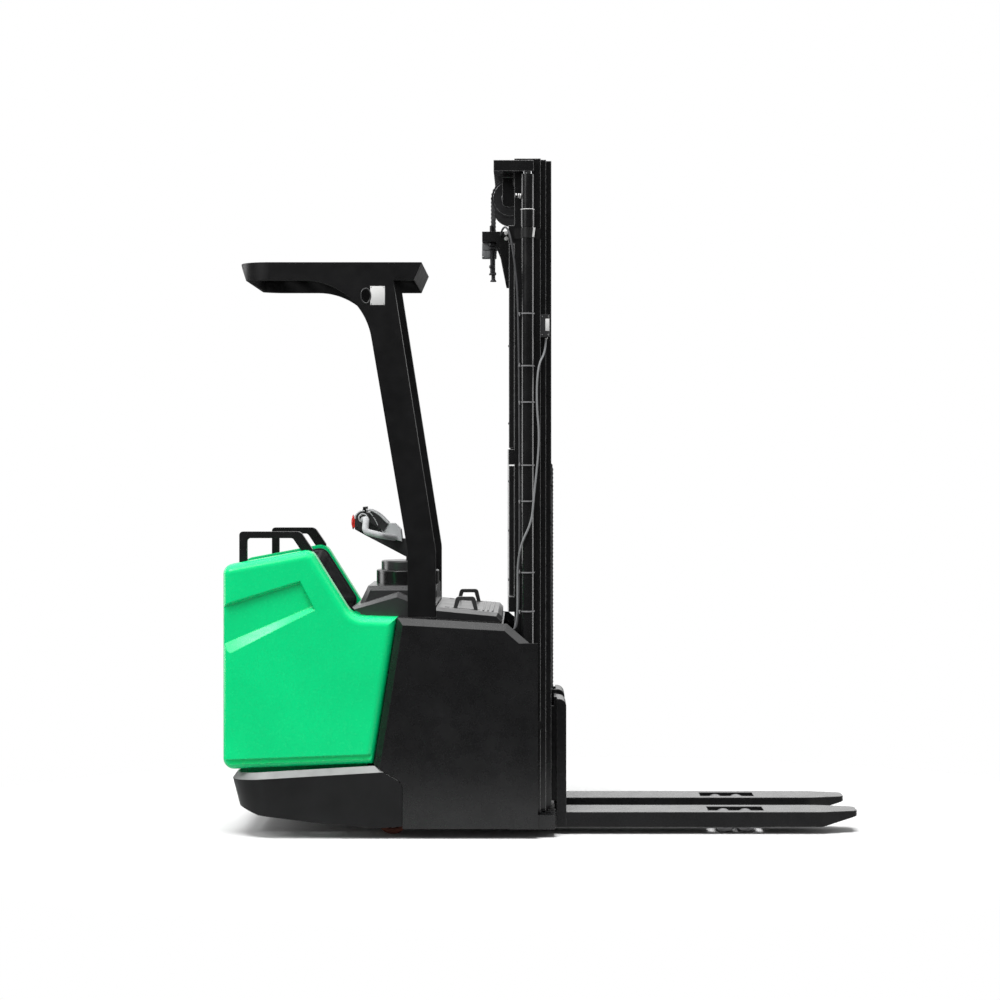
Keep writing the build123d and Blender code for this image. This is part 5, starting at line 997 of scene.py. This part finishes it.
SENSOR_SCREWS = (
    (0.000, -0.3150, 1.970), (0.024, -0.3150, 1.970), (0.000, -0.3150, 2.042), (0.024, -0.3150, 2.042))
SENSOR_SCREW_SIZE = 0.0026
SENSOR_GLAND = ((0.0065, 0), (0.0070, 0.001), (0.0070, 0.006), (0.0048, 0.008))


class STACKER_OT_mast_fittings(bpy.types.Operator):
    """Bolts, threads, ties, rings, strips, gussets and sheave beads of the mast"""

    bl_idname = "stacker.mast_fittings"
    bl_label = "Mast fittings"

    def execute(self, context):
        self.anchors()
        self.cylinder_rings()
        self.ties()
        self.rail_strips()
        self.switch_and_sensor()
        self.head_gussets()
        self.sheave_rims()
        return {"FINISHED"}

    def anchors(self):
        """Bright bolts of the chain anchors, and the threads and nuts below them."""
        bright, dark = bmesh.new(), bmesh.new()
        for _, side in SIDES:
            for bolt in ANCHOR_BOLTS:
                add_head(bright, BOLT, on_side(bolt, side), outward(side), ANCHOR_BOLT_SIZE)
            at = on_side(CHAIN_BOLT, side)
            add_thread(dark, at - UP * THREAD_DROP, UP, THREAD_RADIUS, THREAD_LENGTH, THREAD_PITCH)
            for drop, size, height in ANCHOR_NUTS:
                add_nut(dark, at - UP * drop, UP, size, height)
            add_lathe(dark, THREAD_END, facing(UP, at - UP * THREAD_END_DROP), 16)
        shown("anchor_bolts", bright, "chassis", "bright")
        shown("anchor_threads", dark, "chassis", "dark_bolt")

    def cylinder_rings(self):
        """Bleed screws, gland rings and the folded ends of the strap clamps."""
        bright = bmesh.new()
        for _, side in SIDES:
            add_lathe(bright, BLEED_SCREW, facing(BLEED_DIRECTION, on_side(BLEED_AT, side)), 16)
            add_lathe(bright, GLAND_RING, facing(UP, on_side(GLAND_AT, side)), 40, True)
            add_prism(bright, CLAMP_FOLD, upright(on_side(CLAMP_AT, side)), CLAMP_THICK[side])
        shown("cylinder_fittings", bright, "chassis", "bright")

    def ties(self):
        """Cable ties round the right-hand cylinder and the leads, with their locks and cut tails."""
        bm = bmesh.new()
        band = [(TIE_R + step, rise) for step, rise in TIE_BAND]
        for k, z in enumerate(TIE_Z):
            add_lathe(bm, band, facing(UP, (CYLINDER_X, CYLINDER_Y, z)), 36, True)
            lock = (TIE_LOCK_X, CYLINDER_Y, z)
            low, high = ([a + b for a, b in zip(lock, corner)] for corner in TIE_LOCK)
            add_block(bm, low, high, 0.0008)
            tail = facing(RIGHTWARD, (TIE_LOCK_X, low[1], z - TIE_TAIL_DROPS[k % 2]))
            add_prism(bm, TIE_TAIL, tail, 0.0012)
        shown("cable_ties", bm, "chassis", "tie")

    def rail_strips(self):
        """Folded strip down the back of each fixed rail, with its fixing screws.

        The outline is read backwards on the right, so that it runs the same way round on both sides.
        """
        strip, screws = bmesh.new(), bmesh.new()
        for _, side in SIDES:
            outline = [(x, side * y) for x, y in STRIP_OUTLINE][::side]
            for low, high in STRIP_Z:
                add_prism(strip, outline, Matrix.Translation((0, 0, low)), high - low)
                for share in STRIP_SCREWS:
                    at = (STRIP_SCREW_X, side * STRIP_SCREW_Y, low + (high - low) * share)
                    add_head(screws, SCREW, at, REARWARD, STRIP_SCREW_SIZE)
        shown("rail_strips", strip, "chassis", "mast")
        shown("rail_strip_screws", screws, "chassis", "dark_bolt")

    def switch_and_sensor(self):
        """Pale shell of the height switch, and the bare plate and screws of the stage sensor."""
        shell, plate, screws = bmesh.new(), bmesh.new(), bmesh.new()
        for low, high, bevel in SWITCH_SHELL:
            add_block(shell, low, high, bevel)
        for at in SWITCH_SCREWS:
            add_head(screws, SCREW, at, RIGHTWARD, SWITCH_SCREW_SIZE)
        add_lathe(shell, SWITCH_GLAND, facing(DOWN, SWITCH_GLAND_AT), 6)
        add_block(plate, *SENSOR_PLATE)
        for at in SENSOR_SCREWS:
            add_head(screws, SCREW, at, RIGHTWARD, SENSOR_SCREW_SIZE)
        add_lathe(screws, SENSOR_GLAND, facing(DOWN, SENSOR_LEAD[0]), 12)
        shown("switch_shell", shell, "chassis", "shell")
        shown("sensor_plate", plate, "chassis", "plate")
        shown("sensor_screws", screws, "chassis", "zinc")

    def head_gussets(self):
        """Gussets between the crosshead and the rails of the middle stage."""
        bm = bmesh.new()
        for _, side in SIDES:
            add_prism(bm, GUSSET_OUTLINE, upright((0, side * GUSSET_Y, 0)), GUSSET_THICK)
        shown("head_gussets", bm, "middle_mast", "mast")

    def sheave_rims(self):
        """Turned beads and hub caps on both faces of the chain sheaves."""
        for node in ("main_sheaves", "free_lift_sheaves"):
            low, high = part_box(node)
            centre, radius = (low + high) / 2, (high.z - low.z) / 2
            rims = bmesh.new()
            for way in (-1, 1):
                face = facing(outward(way), (centre.x, way * high.y, centre.z))
                for share in BEAD_SHARES:
                    add_lathe(rims, [(radius * share + step, rise) for step, rise in BEAD], face, 56, True)
                add_lathe(rims, [(radius * share, rise) for share, rise in HUB_CAP], face, 32)
            shown(f"{node}_rims", rims, node, "steel")


# Trim of the overhead guard
GUARD_EYE = Vector((-0.693, 0.330, 2.122))
GUARD_EYE_X, GUARD_EYE_Z, GUARD_EYE_RIM = 0.0195, 0.0290, 0.0028
GUARD_PLATE = ((-0.6755, -0.3310, 2.0860), (-0.6180, -0.3300, 2.1600), 0.0004)
RIVETS = ((-0.6715, -0.3310, 2.0900), (-0.6715, -0.3310, 2.1560), (-0.6220, -0.3310, 2.0900),
          (-0.6220, -0.3310, 2.1560))
RIVET_HEAD = ((0.0022, 0), (0.0020, 0.0006), (0, 0.0010))


class STACKER_OT_guard_trim(bpy.types.Operator):
    """Rimmed eyes, bare plate and rivets of the overhead guard"""

    bl_idname = "stacker.guard_trim"
    bl_label = "Guard trim"

    def execute(self, context):
        rims, plate, rivets = bmesh.new(), bmesh.new(), bmesh.new()
        for _, side in SIDES:
            add_loop(rims, oval(on_side(GUARD_EYE, side), GUARD_EYE_X, GUARD_EYE_Z, 40), GUARD_EYE_RIM)
        add_block(plate, *GUARD_PLATE)
        for at in RIVETS:
            add_lathe(rivets, RIVET_HEAD, facing(RIGHTWARD, at), 12)
        shown("guard_eye_rims", rims, "chassis", "trim", ROUND_CREASE)
        shown("guard_plate", plate, "chassis", "plate")
        shown("guard_rivets", rivets, "chassis", "zinc")
        return {"FINISHED"}


# Trim of the tiller head: rims in (x, z) down one side, which is wider behind the step than ahead of it,
# thumb ridges in (y, z), and the collars' profile as steps from their radius
HEAD_STEP_X = -0.700
HEAD_REAR_Y, HEAD_FRONT_Y = 0.0600, 0.0510
HEAD_RIM_R, PANEL_RIM_R = 0.0036, 0.0018
HEAD_RIM = ((-0.7560, 1.2400), (-0.7530, 1.2560), (-0.7380, 1.2705), (-0.7180, 1.2735), (-0.6960, 1.2765),
            (-0.6720, 1.2660), (-0.6520, 1.2515), (-0.6370, 1.2360), (-0.6235, 1.2225))
PANEL_RIM = ((-0.7000, 1.2690), (-0.6880, 1.2560), (-0.6750, 1.2360), (-0.6640, 1.2140))
PANEL_RIM_Y = 0.0520
HEAD_SCREWS = ((-0.6820, 0.052, 1.2500), (-0.7480, 0.062, 1.2080), (-0.7120, 0.062, 1.2040))
HEAD_SCREW_SIZE = 0.0034
BOSS_RING, BOSS_RIM = 0.0165, 0.0032
THUMB_BOSS = Vector((-0.7235, 0.062, 1.2440))
BOSS_CAP = ((0.0150, 0), (0.0150, 0.0022), (0.0120, 0.0038), (0.0060, 0.0046), (0, 0.0048))
RIDGE_R = 0.0009
RIDGE_X = (-0.7240, -0.7200, -0.7160, -0.7120)
RIDGE_LINE = ((0.0590, 1.2878), (0.0400, 1.2884), (0.0360, 1.2878))
REVERSING_AT = (-0.7655, 0, 1.2262)
REVERSING_SIZE = (0.0305, 0.0340, 0.0078, 1.0)
REVERSING_CAP = (
    (0.80, 0), (0.97, 0.10), (1.0, 0.28), (0.96, 0.50), (0.84, 0.72), (0.62, 0.88), (0.32, 0.97), (0, 1.0))
COLLARS = (((-0.470, 0.140, 0.976), 0.0245), ((-0.470, -0.140, 0.976), 0.0150))
COLLAR = ((-0.006, 0), (0, 0), (0, 0.0025), (-0.002, 0.0045), (-0.006, 0.0045))


class STACKER_OT_tiller_trim(bpy.types.Operator):
    """Rims, bosses, button caps and screws of the tiller head, and collars on the console"""

    bl_idname = "stacker.tiller_trim"
    bl_label = "Tiller trim"

    def execute(self, context):
        self.head()
        self.thumb_ridges()
        self.buttons()
        return {"FINISHED"}

    def head(self):
        pale, dark, screws = bmesh.new(), bmesh.new(), bmesh.new()
        for _, side in SIDES:
            reach = [HEAD_REAR_Y if x < HEAD_STEP_X else HEAD_FRONT_Y for x, _ in HEAD_RIM]
            add_tube(pale, [(x, side * y, z) for (x, z), y in zip(HEAD_RIM, reach)], HEAD_RIM_R)
            add_tube(pale, [(x, side * PANEL_RIM_Y, z) for x, z in PANEL_RIM], PANEL_RIM_R)
            boss = on_side(THUMB_BOSS, side)
            add_loop(pale, oval(boss, BOSS_RING, BOSS_RING, 36), BOSS_RIM)
            add_lathe(dark, BOSS_CAP, facing(outward(side), boss), 28)
            for at in HEAD_SCREWS:
                add_head(screws, SCREW, on_side(at, side), outward(side), HEAD_SCREW_SIZE)
        shown("tiller_rims", pale, "tiller", "grip", ROUND_CREASE)
        shown("thumb_bosses", dark, "tiller", "drum")
        shown("tiller_screws", screws, "tiller", "dark_bolt")

    def thumb_ridges(self):
        """Ridges for the thumbs across the paddles."""
        ridges = bmesh.new()
        for _, side in SIDES:
            for x in RIDGE_X:
                add_tube(ridges, [(x, side * y, z) for y, z in RIDGE_LINE], RIDGE_R, 6)
        shown("thumb_ridges", ridges, "thumb_control", "grip", ROUND_CREASE)

    def buttons(self):
        """Domed cap of the reversing button, and collars of the stop button and the key switch."""
        cap, collars = bmesh.new(), bmesh.new()
        add_lathe(cap, REVERSING_CAP, facing(REARWARD, REVERSING_AT) @ Matrix.Diagonal(REVERSING_SIZE), 40)
        shown("reversing_cap", cap, "belly_button", "red", SOFT_CREASE)
        for at, radius in COLLARS:
            add_lathe(collars, [(radius + step, rise) for step, rise in COLLAR], facing(UP, at), 36, True)
        shown("button_collars", collars, "chassis", "shell")


# Trim of the battery cover, whose top falls towards the mast; the dark plates of painted shade under and
# behind each strap handle are (x, length, width, rise)
LID_REAR = Vector((-0.416, 0, 0.901))
LID_FALL = math.atan(24.0 / 256.0)
LID_NORMAL = (0.09, 0, 1)
STRAP_Y = 0.275
STRAP_SCREW_X, STRAP_SCREW_SIZE = (-0.3560, -0.2500), 0.0042
SHADE_PLATES = ((-0.303, 0.096, 0.046, 0.0014), (-0.375, 0.018, 0.030, 0.0016))
RIB_X = (-0.2320, -0.2140, -0.1960)
RIB_HALF, RIB_WIDE, RIB_HIGH = 0.302, 0.0042, 0.0030
BOOT_AT = (-0.153, -0.329, 0.797)


def lid_place(x, y):
    """Placement on the sloping top of the battery cover."""
    z = LID_REAR.z - (x - LID_REAR.x) * math.tan(LID_FALL)
    return Matrix.Translation((x, y, z)) @ Matrix.Rotation(LID_FALL, 4, "Y")


class STACKER_OT_lid_trim(bpy.types.Operator):
    """Dark plates of painted shade under and behind the strap handles, ribs and strap screws of the battery
    cover, and the boot where the leads go in
    """

    bl_idname = "stacker.lid_trim"
    bl_label = "Battery cover trim"

    def execute(self, context):
        shade_plates, ribs, screws, boot = bmesh.new(), bmesh.new(), bmesh.new(), bmesh.new()
        for _, side in SIDES:
            y = side * STRAP_Y
            # Dark plates stand in for the shade under each strap handle and in the recess behind it: painted
            # shade.
            for x, length, width, rise in SHADE_PLATES:
                add_prism(shade_plates, self.shade_plate_outline(length, width), lid_place(x, y), rise)
            for x in STRAP_SCREW_X:
                add_head(screws, SCREW, lid_place(x, y).translation, LID_NORMAL, STRAP_SCREW_SIZE)
        arc = [(RIB_WIDE * math.cos(a), RIB_HIGH * math.sin(a)) for a in around(16)[:9]]
        for x in RIB_X:
            add_prism(ribs, arc, lid_place(x, RIB_HALF) @ Matrix.Rotation(math.pi / 2, 4, "X"), 2 * RIB_HALF)
        add_lathe(boot, self.boot_profile(), facing(FORWARD, BOOT_AT), 28)
        shown("lid_shade_plates", shade_plates, "battery_cover", "drum")
        shown("lid_ribs", ribs, "battery_cover", "trim", SOFT_CREASE)
        shown("strap_screws", screws, "battery_cover", "zinc")
        shown("lead_boot", boot, "chassis", "mat", SOFT_CREASE)
        return {"FINISHED"}

    def shade_plate_outline(self, length, width):
        """Rectangle with cut corners."""
        a, b, cut = length / 2, width / 2, min(length, width) * 0.16
        return [(-a + cut, -b), (a - cut, -b), (a, -b + cut), (a, b - cut),
                (a - cut, b), (-a + cut, b), (-a, b - cut), (-a, -b + cut)]

    def boot_profile(self):
        """Five folds, each smaller than the last."""
        profile = [(0.0240, 0)]
        for k in range(5):
            taper, rise = 0.0018 * k, 0.0048 * k
            profile += [(0.0235 - taper, 0.0010 + rise), (0.0205 - taper, 0.0034 + rise)]
        return profile + [(0.0090, 0.0262)]


# Running gear: OFF is how far a part stands off the caster fork's cheek
SEAL_PROFILE = ((0.0255, 0), (0.0360, 0.0006), (0.0372, 0.0026), (0.0340, 0.0034), (0.0262, 0.0030))
AXLE_WASHER = ((0.0140, 0), (0.0146, 0.0008), (0.0146, 0.0022), (0.0120, 0.0024))
SEAL_DEPTH = 0.004
AXLE_NUT_SIZE, AXLE_NUT_HEIGHT, AXLE_NUT_OFF = 0.0120, 0.0080, 0.002
AXLE_END_OFF, AXLE_END_R, AXLE_END_LENGTH, AXLE_END_PITCH = 0.008, 0.0062, 0.0050, 0.00125
WHEEL_NUTS, WHEEL_NUT_RING, WHEEL_NUT_SIZE, WHEEL_DISH = 6, 0.055, 0.0090, 0.008


class STACKER_OT_wheel_caps(bpy.types.Operator):
    """Bearing covers, axle nuts and wheel nuts of the running gear"""

    bl_idname = "stacker.wheel_caps"
    bl_label = "Wheel caps"

    def execute(self, context):
        for side, _ in SIDES:
            self.caster(side)
        self.drive_wheel()
        return {"FINISHED"}

    def middle(self, node):
        """Centre of a wheel and its half width."""
        low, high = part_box(node)
        return (low + high) / 2, (high.y - low.y) / 2

    def caster(self, side):
        """Sealed bearings in the dished hub, and the axle's nuts outside the cheeks."""
        centre, half = self.middle(f"caster_wheel_{side}")
        fork_low, fork_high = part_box(f"caster_fork_{side}")
        seals, nuts = bmesh.new(), bmesh.new()
        for way, cheek in ((-1, fork_low.y), (1, fork_high.y)):
            out = outward(way)
            hub = (centre.x, centre.y + way * (half - SEAL_DEPTH), centre.z)
            end = Vector((centre.x, cheek, centre.z))
            add_lathe(seals, SEAL_PROFILE, facing(out, hub), 40, True)
            add_lathe(nuts, AXLE_WASHER, facing(out, end))
            add_nut(nuts, end + out * AXLE_NUT_OFF, out, AXLE_NUT_SIZE, AXLE_NUT_HEIGHT)
            add_thread(nuts, end + out * AXLE_END_OFF, out, AXLE_END_R, AXLE_END_LENGTH, AXLE_END_PITCH)
        shown(f"caster_seals_{side}", seals, f"caster_wheel_{side}", "steel")
        shown(f"caster_nuts_{side}", nuts, f"caster_{side}", "zinc")

    def drive_wheel(self):
        """Ring of wheel nuts in the dish on the open side."""
        centre, half = self.middle("drive_wheel")
        nuts = bmesh.new()
        dish = Vector((centre.x, centre.y - half + WHEEL_DISH, centre.z))
        for at in oval(dish, WHEEL_NUT_RING, WHEEL_NUT_RING, WHEEL_NUTS):
            add_head(nuts, BOLT, at, RIGHTWARD, WHEEL_NUT_SIZE)
        shown("drive_wheel_nuts", nuts, "drive_wheel", "zinc")


# What stands on the battery, the motors and the controller; RING is the radius that parts stand on
CELL_ROWS, CELL_COLUMNS = 2, 6
CELL_PLUG = ((0.0160, 0), (0.0160, 0.0040), (0.0130, 0.0050), (0.0130, 0.0120), (0.0100, 0.0140), (0, 0.0140))
LINK_INSET, LINK_RISE = 0.018, 0.005
LINK_X = (0.026, 0.044)
LIFT_EYE_X, LIFT_EYE_Y, LIFT_EYE_RISE, LIFT_EYE_RING, LIFT_EYE_WIRE = 0.030, 0.020, 0.010, 0.011, 0.0032
COOLING_RINGS = 12
COOLING_RING = ((0.0815, 0), (0.0880, 0.0008), (0.0880, 0.0042), (0.0815, 0.0050))
COOLING_FOOT_Z, COOLING_STEP = 0.410, 0.014
MOTOR_POSTS, MOTOR_POST_RING = 3, 0.045
POST_R, POST_LENGTH, POST_PITCH, POST_NUT, POST_NUT_HEIGHT = 0.0045, 0.0220, 0.0015, 0.0080, 0.0060
PUMP_BOLTS, PUMP_BOLT_RING, PUMP_BOLT_SIZE = 4, 0.036, 0.0055
CONTROLLER_STUDS, STUD_SIZE = 5, 0.0060


class STACKER_OT_power_fittings(bpy.types.Operator):
    """What stands on the battery, the drive motor, the pump and the controller"""

    bl_idname = "stacker.power_fittings"
    bl_label = "Power fittings"

    def execute(self, context):
        self.battery()
        self.drive_motor()
        self.pump()
        self.controller()
        return {"FINISHED"}

    def battery(self):
        """Cell plugs, links between the cells and lifting eyes on the battery's top."""
        low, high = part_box("battery_pack")
        top = high.z
        plugs, links, eyes = bmesh.new(), bmesh.new(), bmesh.new()
        step = (high.y - low.y) / CELL_COLUMNS
        for row in range(CELL_ROWS):
            x = low.x + (row + 0.5) * (high.x - low.x) / CELL_ROWS
            for column in range(CELL_COLUMNS):
                y = low.y + (column + 0.5) * step
                add_lathe(plugs, CELL_PLUG, facing(UP, (x, y, top)), 20)
                if column < CELL_COLUMNS - 1:
                    near = (x + LINK_X[0], y + LINK_INSET, top)
                    far = (x + LINK_X[1], y + step - LINK_INSET, top + LINK_RISE)
                    add_block(links, near, far, 0.0015)
        for y in (low.y + LIFT_EYE_Y, high.y - LIFT_EYE_Y):
            for x in (low.x + LIFT_EYE_X, high.x - LIFT_EYE_X):
                eye = Vector((x, y, top + LIFT_EYE_RISE))
                add_loop(eyes, oval(eye, LIFT_EYE_RING, LIFT_EYE_RING, 20), LIFT_EYE_WIRE)
        shown("cell_plugs", plugs, "chassis", "grip")
        shown("cell_links", links, "chassis", "zinc")
        shown("battery_eyes", eyes, "chassis", "steel", ROUND_CREASE)

    def drive_motor(self):
        """Cooling rings and terminals of the upright drive motor."""
        low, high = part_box("drive_unit")
        x = (low.x + high.x) / 2
        rings, posts = bmesh.new(), bmesh.new()
        for k in range(COOLING_RINGS):
            add_lathe(rings, COOLING_RING, facing(UP, (x, 0, COOLING_FOOT_Z + COOLING_STEP * k)), 48, True)
        for a in around(MOTOR_POSTS):
            at = (x + MOTOR_POST_RING * math.cos(a), MOTOR_POST_RING * math.sin(a), high.z)
            add_thread(posts, at, UP, POST_R, POST_LENGTH, POST_PITCH)
            add_nut(posts, at, UP, POST_NUT, POST_NUT_HEIGHT)
        shown("motor_rings", rings, "drive_unit", "cast")
        shown("motor_posts", posts, "drive_unit", "zinc")

    def pump(self):
        """Bolts of the pump motor."""
        low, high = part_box("pump_unit")
        x, y = (low.x + high.x) / 2, (low.y + high.y) / 2
        bolts = bmesh.new()
        for a in (math.pi / 4 + turn for turn in around(PUMP_BOLTS)):
            at = (x + PUMP_BOLT_RING * math.cos(a), y + PUMP_BOLT_RING * math.sin(a), high.z)
            add_head(bolts, BOLT, at, UP, PUMP_BOLT_SIZE)
        shown("pump_bolts", bolts, "chassis", "zinc")

    def controller(self):
        """Row of terminal studs along the controller's inner side."""
        low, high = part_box("motor_controller")
        studs = bmesh.new()
        for k in range(CONTROLLER_STUDS):
            x = low.x + (k + 0.5) * (high.x - low.x) / CONTROLLER_STUDS
            add_head(studs, BOLT, (x, low.y, (low.z + high.z) / 2), RIGHTWARD, STUD_SIZE)
        shown("controller_studs", studs, "chassis", "bright")


# Studio: the camera's shift in frame widths, where the lamps stand and look, where the grades start and end
CAMERA_SHIFT = (-0.025, -0.032)
BACK_DIRECTION = (0.05, 0.30, 0.95)
BACK_STARTS, BACK_ENDS = 0.22, 0.46
PANEL_STARTS, PANEL_ENDS = 0.45, 0.9
OVERHEAD_DIRECTION = Vector((0.05, 0.32, -1.0))
OVERHEAD_SPREAD = math.radians(28)
CANOPY_AT, CANOPY_AIM, CANOPY_SIZE = Vector((-3.9, -4.2, 4.6)), Vector((0, 0, 0.9)), (2.6, 1.8)
STRIPS = (("strip_front", Vector((5.2, 1.9, 1.7))), ("strip_rear", Vector((-5.2, 1.9, 1.7))))
STRIP_AIM, STRIP_SIZE = Vector((0, 0, 1.3)), (2.4, 3.4)
FLOOR_RADIUS = 4.0
FLOOR_FADE = (0.36, 0.48, 0.0)
FADE_STARTS, FADE_ENDS = 0.62, 1.0
FLOOR_DARK, FLOOR_LIGHT, FLOOR_SEEN = grey(0.70), grey(0.72), grey(0.42)


class STACKER_OT_stage(bpy.types.Operator):
    """Camera, lamps, pale surround and floor"""

    bl_idname = "stacker.stage"
    bl_label = "Studio"

    def execute(self, context):
        scene, stage = context.scene, context.scene.stacker_stage
        scene.view_settings.view_transform = "Standard"
        self.camera(scene, stage)
        self.surround(scene, stage)
        self.floor(scene)
        self.overhead(scene, stage)
        for name, at in STRIPS:
            self.soft_box(scene, name, at, STRIP_AIM, STRIP_SIZE, stage.strip)
        self.soft_box(scene, "canopy", CANOPY_AT, CANOPY_AIM, CANOPY_SIZE, stage.canopy)
        return {"FINISHED"}

    def camera(self, scene, stage):
        data = bpy.data.cameras.new("camera")
        data.lens, data.sensor_width = stage.lens, 36.0
        data.shift_x, data.shift_y = CAMERA_SHIFT
        camera = bpy.data.objects.new("camera", data)
        camera.location = (stage.station, -stage.distance, stage.height)
        camera.rotation_euler = (math.pi / 2, 0, 0)
        scene.collection.objects.link(camera)
        scene.camera = camera

    def surround(self, scene, stage):
        """White to the lens and through clear sheets, even as a light, bright behind for reflections."""
        world = bpy.data.worlds.new("surround")
        world.use_nodes = True
        scene.world = world
        graph = Graph(world.node_tree)
        place = graph.nodes.new("ShaderNodeTexCoord").outputs["Generated"]
        lean = graph.measure("DOT_PRODUCT", place, BACK_DIRECTION)
        back = graph.remap(lean, BACK_STARTS, BACK_ENDS, stage.gloom, stage.glow, "SMOOTHSTEP")
        above = graph.remap(graph.height(place), PANEL_STARTS, PANEL_ENDS, 0.0, stage.zenith)
        mirrored = graph.calculate("ADD", back, above)
        seen = graph.calculate("MAXIMUM", graph.ray("Is Camera Ray"), graph.ray("Is Transmission Ray"))
        level = graph.remap(seen, 0.0, 1.0, stage.ambient, 1.0)
        final = graph.nodes.new("ShaderNodeMix")
        graph.links.new(graph.ray("Is Glossy Ray"), final.inputs["Factor"])
        graph.links.new(level, final.inputs[2])
        graph.links.new(mirrored, final.inputs[3])
        background = graph.nodes["Background"]
        background.inputs["Color"].default_value = (1, 1, 1, 1)
        graph.links.new(final.outputs[0], background.inputs["Strength"])

    def floor(self, scene):
        """Patch of pale floor that takes the shadow and fades into the surround."""
        bm = bmesh.new()
        bmesh.ops.create_circle(bm, cap_ends=True, radius=FLOOR_RADIUS, segments=64)
        mesh = mesh_from(bm, "floor")
        finish = Finish("floor_paint")
        pale = finish.blend(finish.noise(0.6), FLOOR_DARK, FLOOR_LIGHT)
        finish.use("Base Color", finish.blend(finish.ray("Is Camera Ray"), FLOOR_SEEN, pale))
        reach = finish.measure("LENGTH", finish.stretched(FLOOR_FADE))
        finish.use("Alpha", finish.remap(reach, FADE_STARTS, FADE_ENDS, 1.0, 0.0))
        finish.set(Roughness=0.9, Specular_IOR_Level=0.0)
        mesh.materials.append(finish.material)
        floor = bpy.data.objects.new("floor", mesh)
        scene.collection.objects.link(floor)

    def overhead(self, scene, stage):
        """Broad light from above that no reflection finds."""
        data = bpy.data.lights.new("overhead", "SUN")
        data.energy, data.angle = stage.key, OVERHEAD_SPREAD
        lamp = bpy.data.objects.new("overhead", data)
        lamp.rotation_euler = OVERHEAD_DIRECTION.to_track_quat("-Z", "Y").to_euler()
        lamp.visible_glossy = False
        scene.collection.objects.link(lamp)

    def soft_box(self, scene, name, at, aim, size, power):
        """Rectangular lamp, for the strips that draw upright edges and the canopy over faces that lean."""
        data = bpy.data.lights.new(name, "AREA")
        data.shape, data.energy = "RECTANGLE", power
        data.size, data.size_y = size
        lamp = bpy.data.objects.new(name, data)
        lamp.location = at
        lamp.rotation_euler = (aim - at).to_track_quat("-Z", "Y").to_euler()
        scene.collection.objects.link(lamp)


class STACKER_PT_panel(bpy.types.Panel):
    """Sizes, colours and pieces of the truck"""

    bl_idname = "STACKER_PT_panel"
    bl_label = "Ride-on stacker"
    bl_space_type = "VIEW_3D"
    bl_region_type = "UI"
    bl_category = "Stacker"

    def draw(self, context):
        for title in GROUPS:
            group = getattr(context.scene, title)
            box = self.layout.box()
            for name in group.__annotations__:
                box.prop(group, name)
        for operator in OPERATORS:
            self.layout.operator(operator.bl_idname)


GROUPS = {"stacker_colours": StackerColours, "stacker_sizes": StackerSizes, "stacker_stage": StackerStage}
OPERATORS = (
    STACKER_OT_finishes, STACKER_OT_stage, STACKER_OT_cables, STACKER_OT_chains, STACKER_OT_pads,
    STACKER_OT_mast_fittings, STACKER_OT_guard_trim, STACKER_OT_tiller_trim, STACKER_OT_lid_trim,
    STACKER_OT_wheel_caps, STACKER_OT_power_fittings)
CLASSES = (*GROUPS.values(), *OPERATORS, STACKER_PT_panel)


def register():
    for cls in CLASSES:
        bpy.utils.register_class(cls)
    for name, group in GROUPS.items():
        setattr(bpy.types.Scene, name, PointerProperty(type=group))


def unregister():
    for name in GROUPS:
        delattr(bpy.types.Scene, name)
    for cls in reversed(CLASSES):
        bpy.utils.unregister_class(cls)


def main():
    register()
    for operator in OPERATORS:
        group, name = operator.bl_idname.split(".")
        getattr(getattr(bpy.ops, group), name)()


if __name__ == "__main__":
    main()
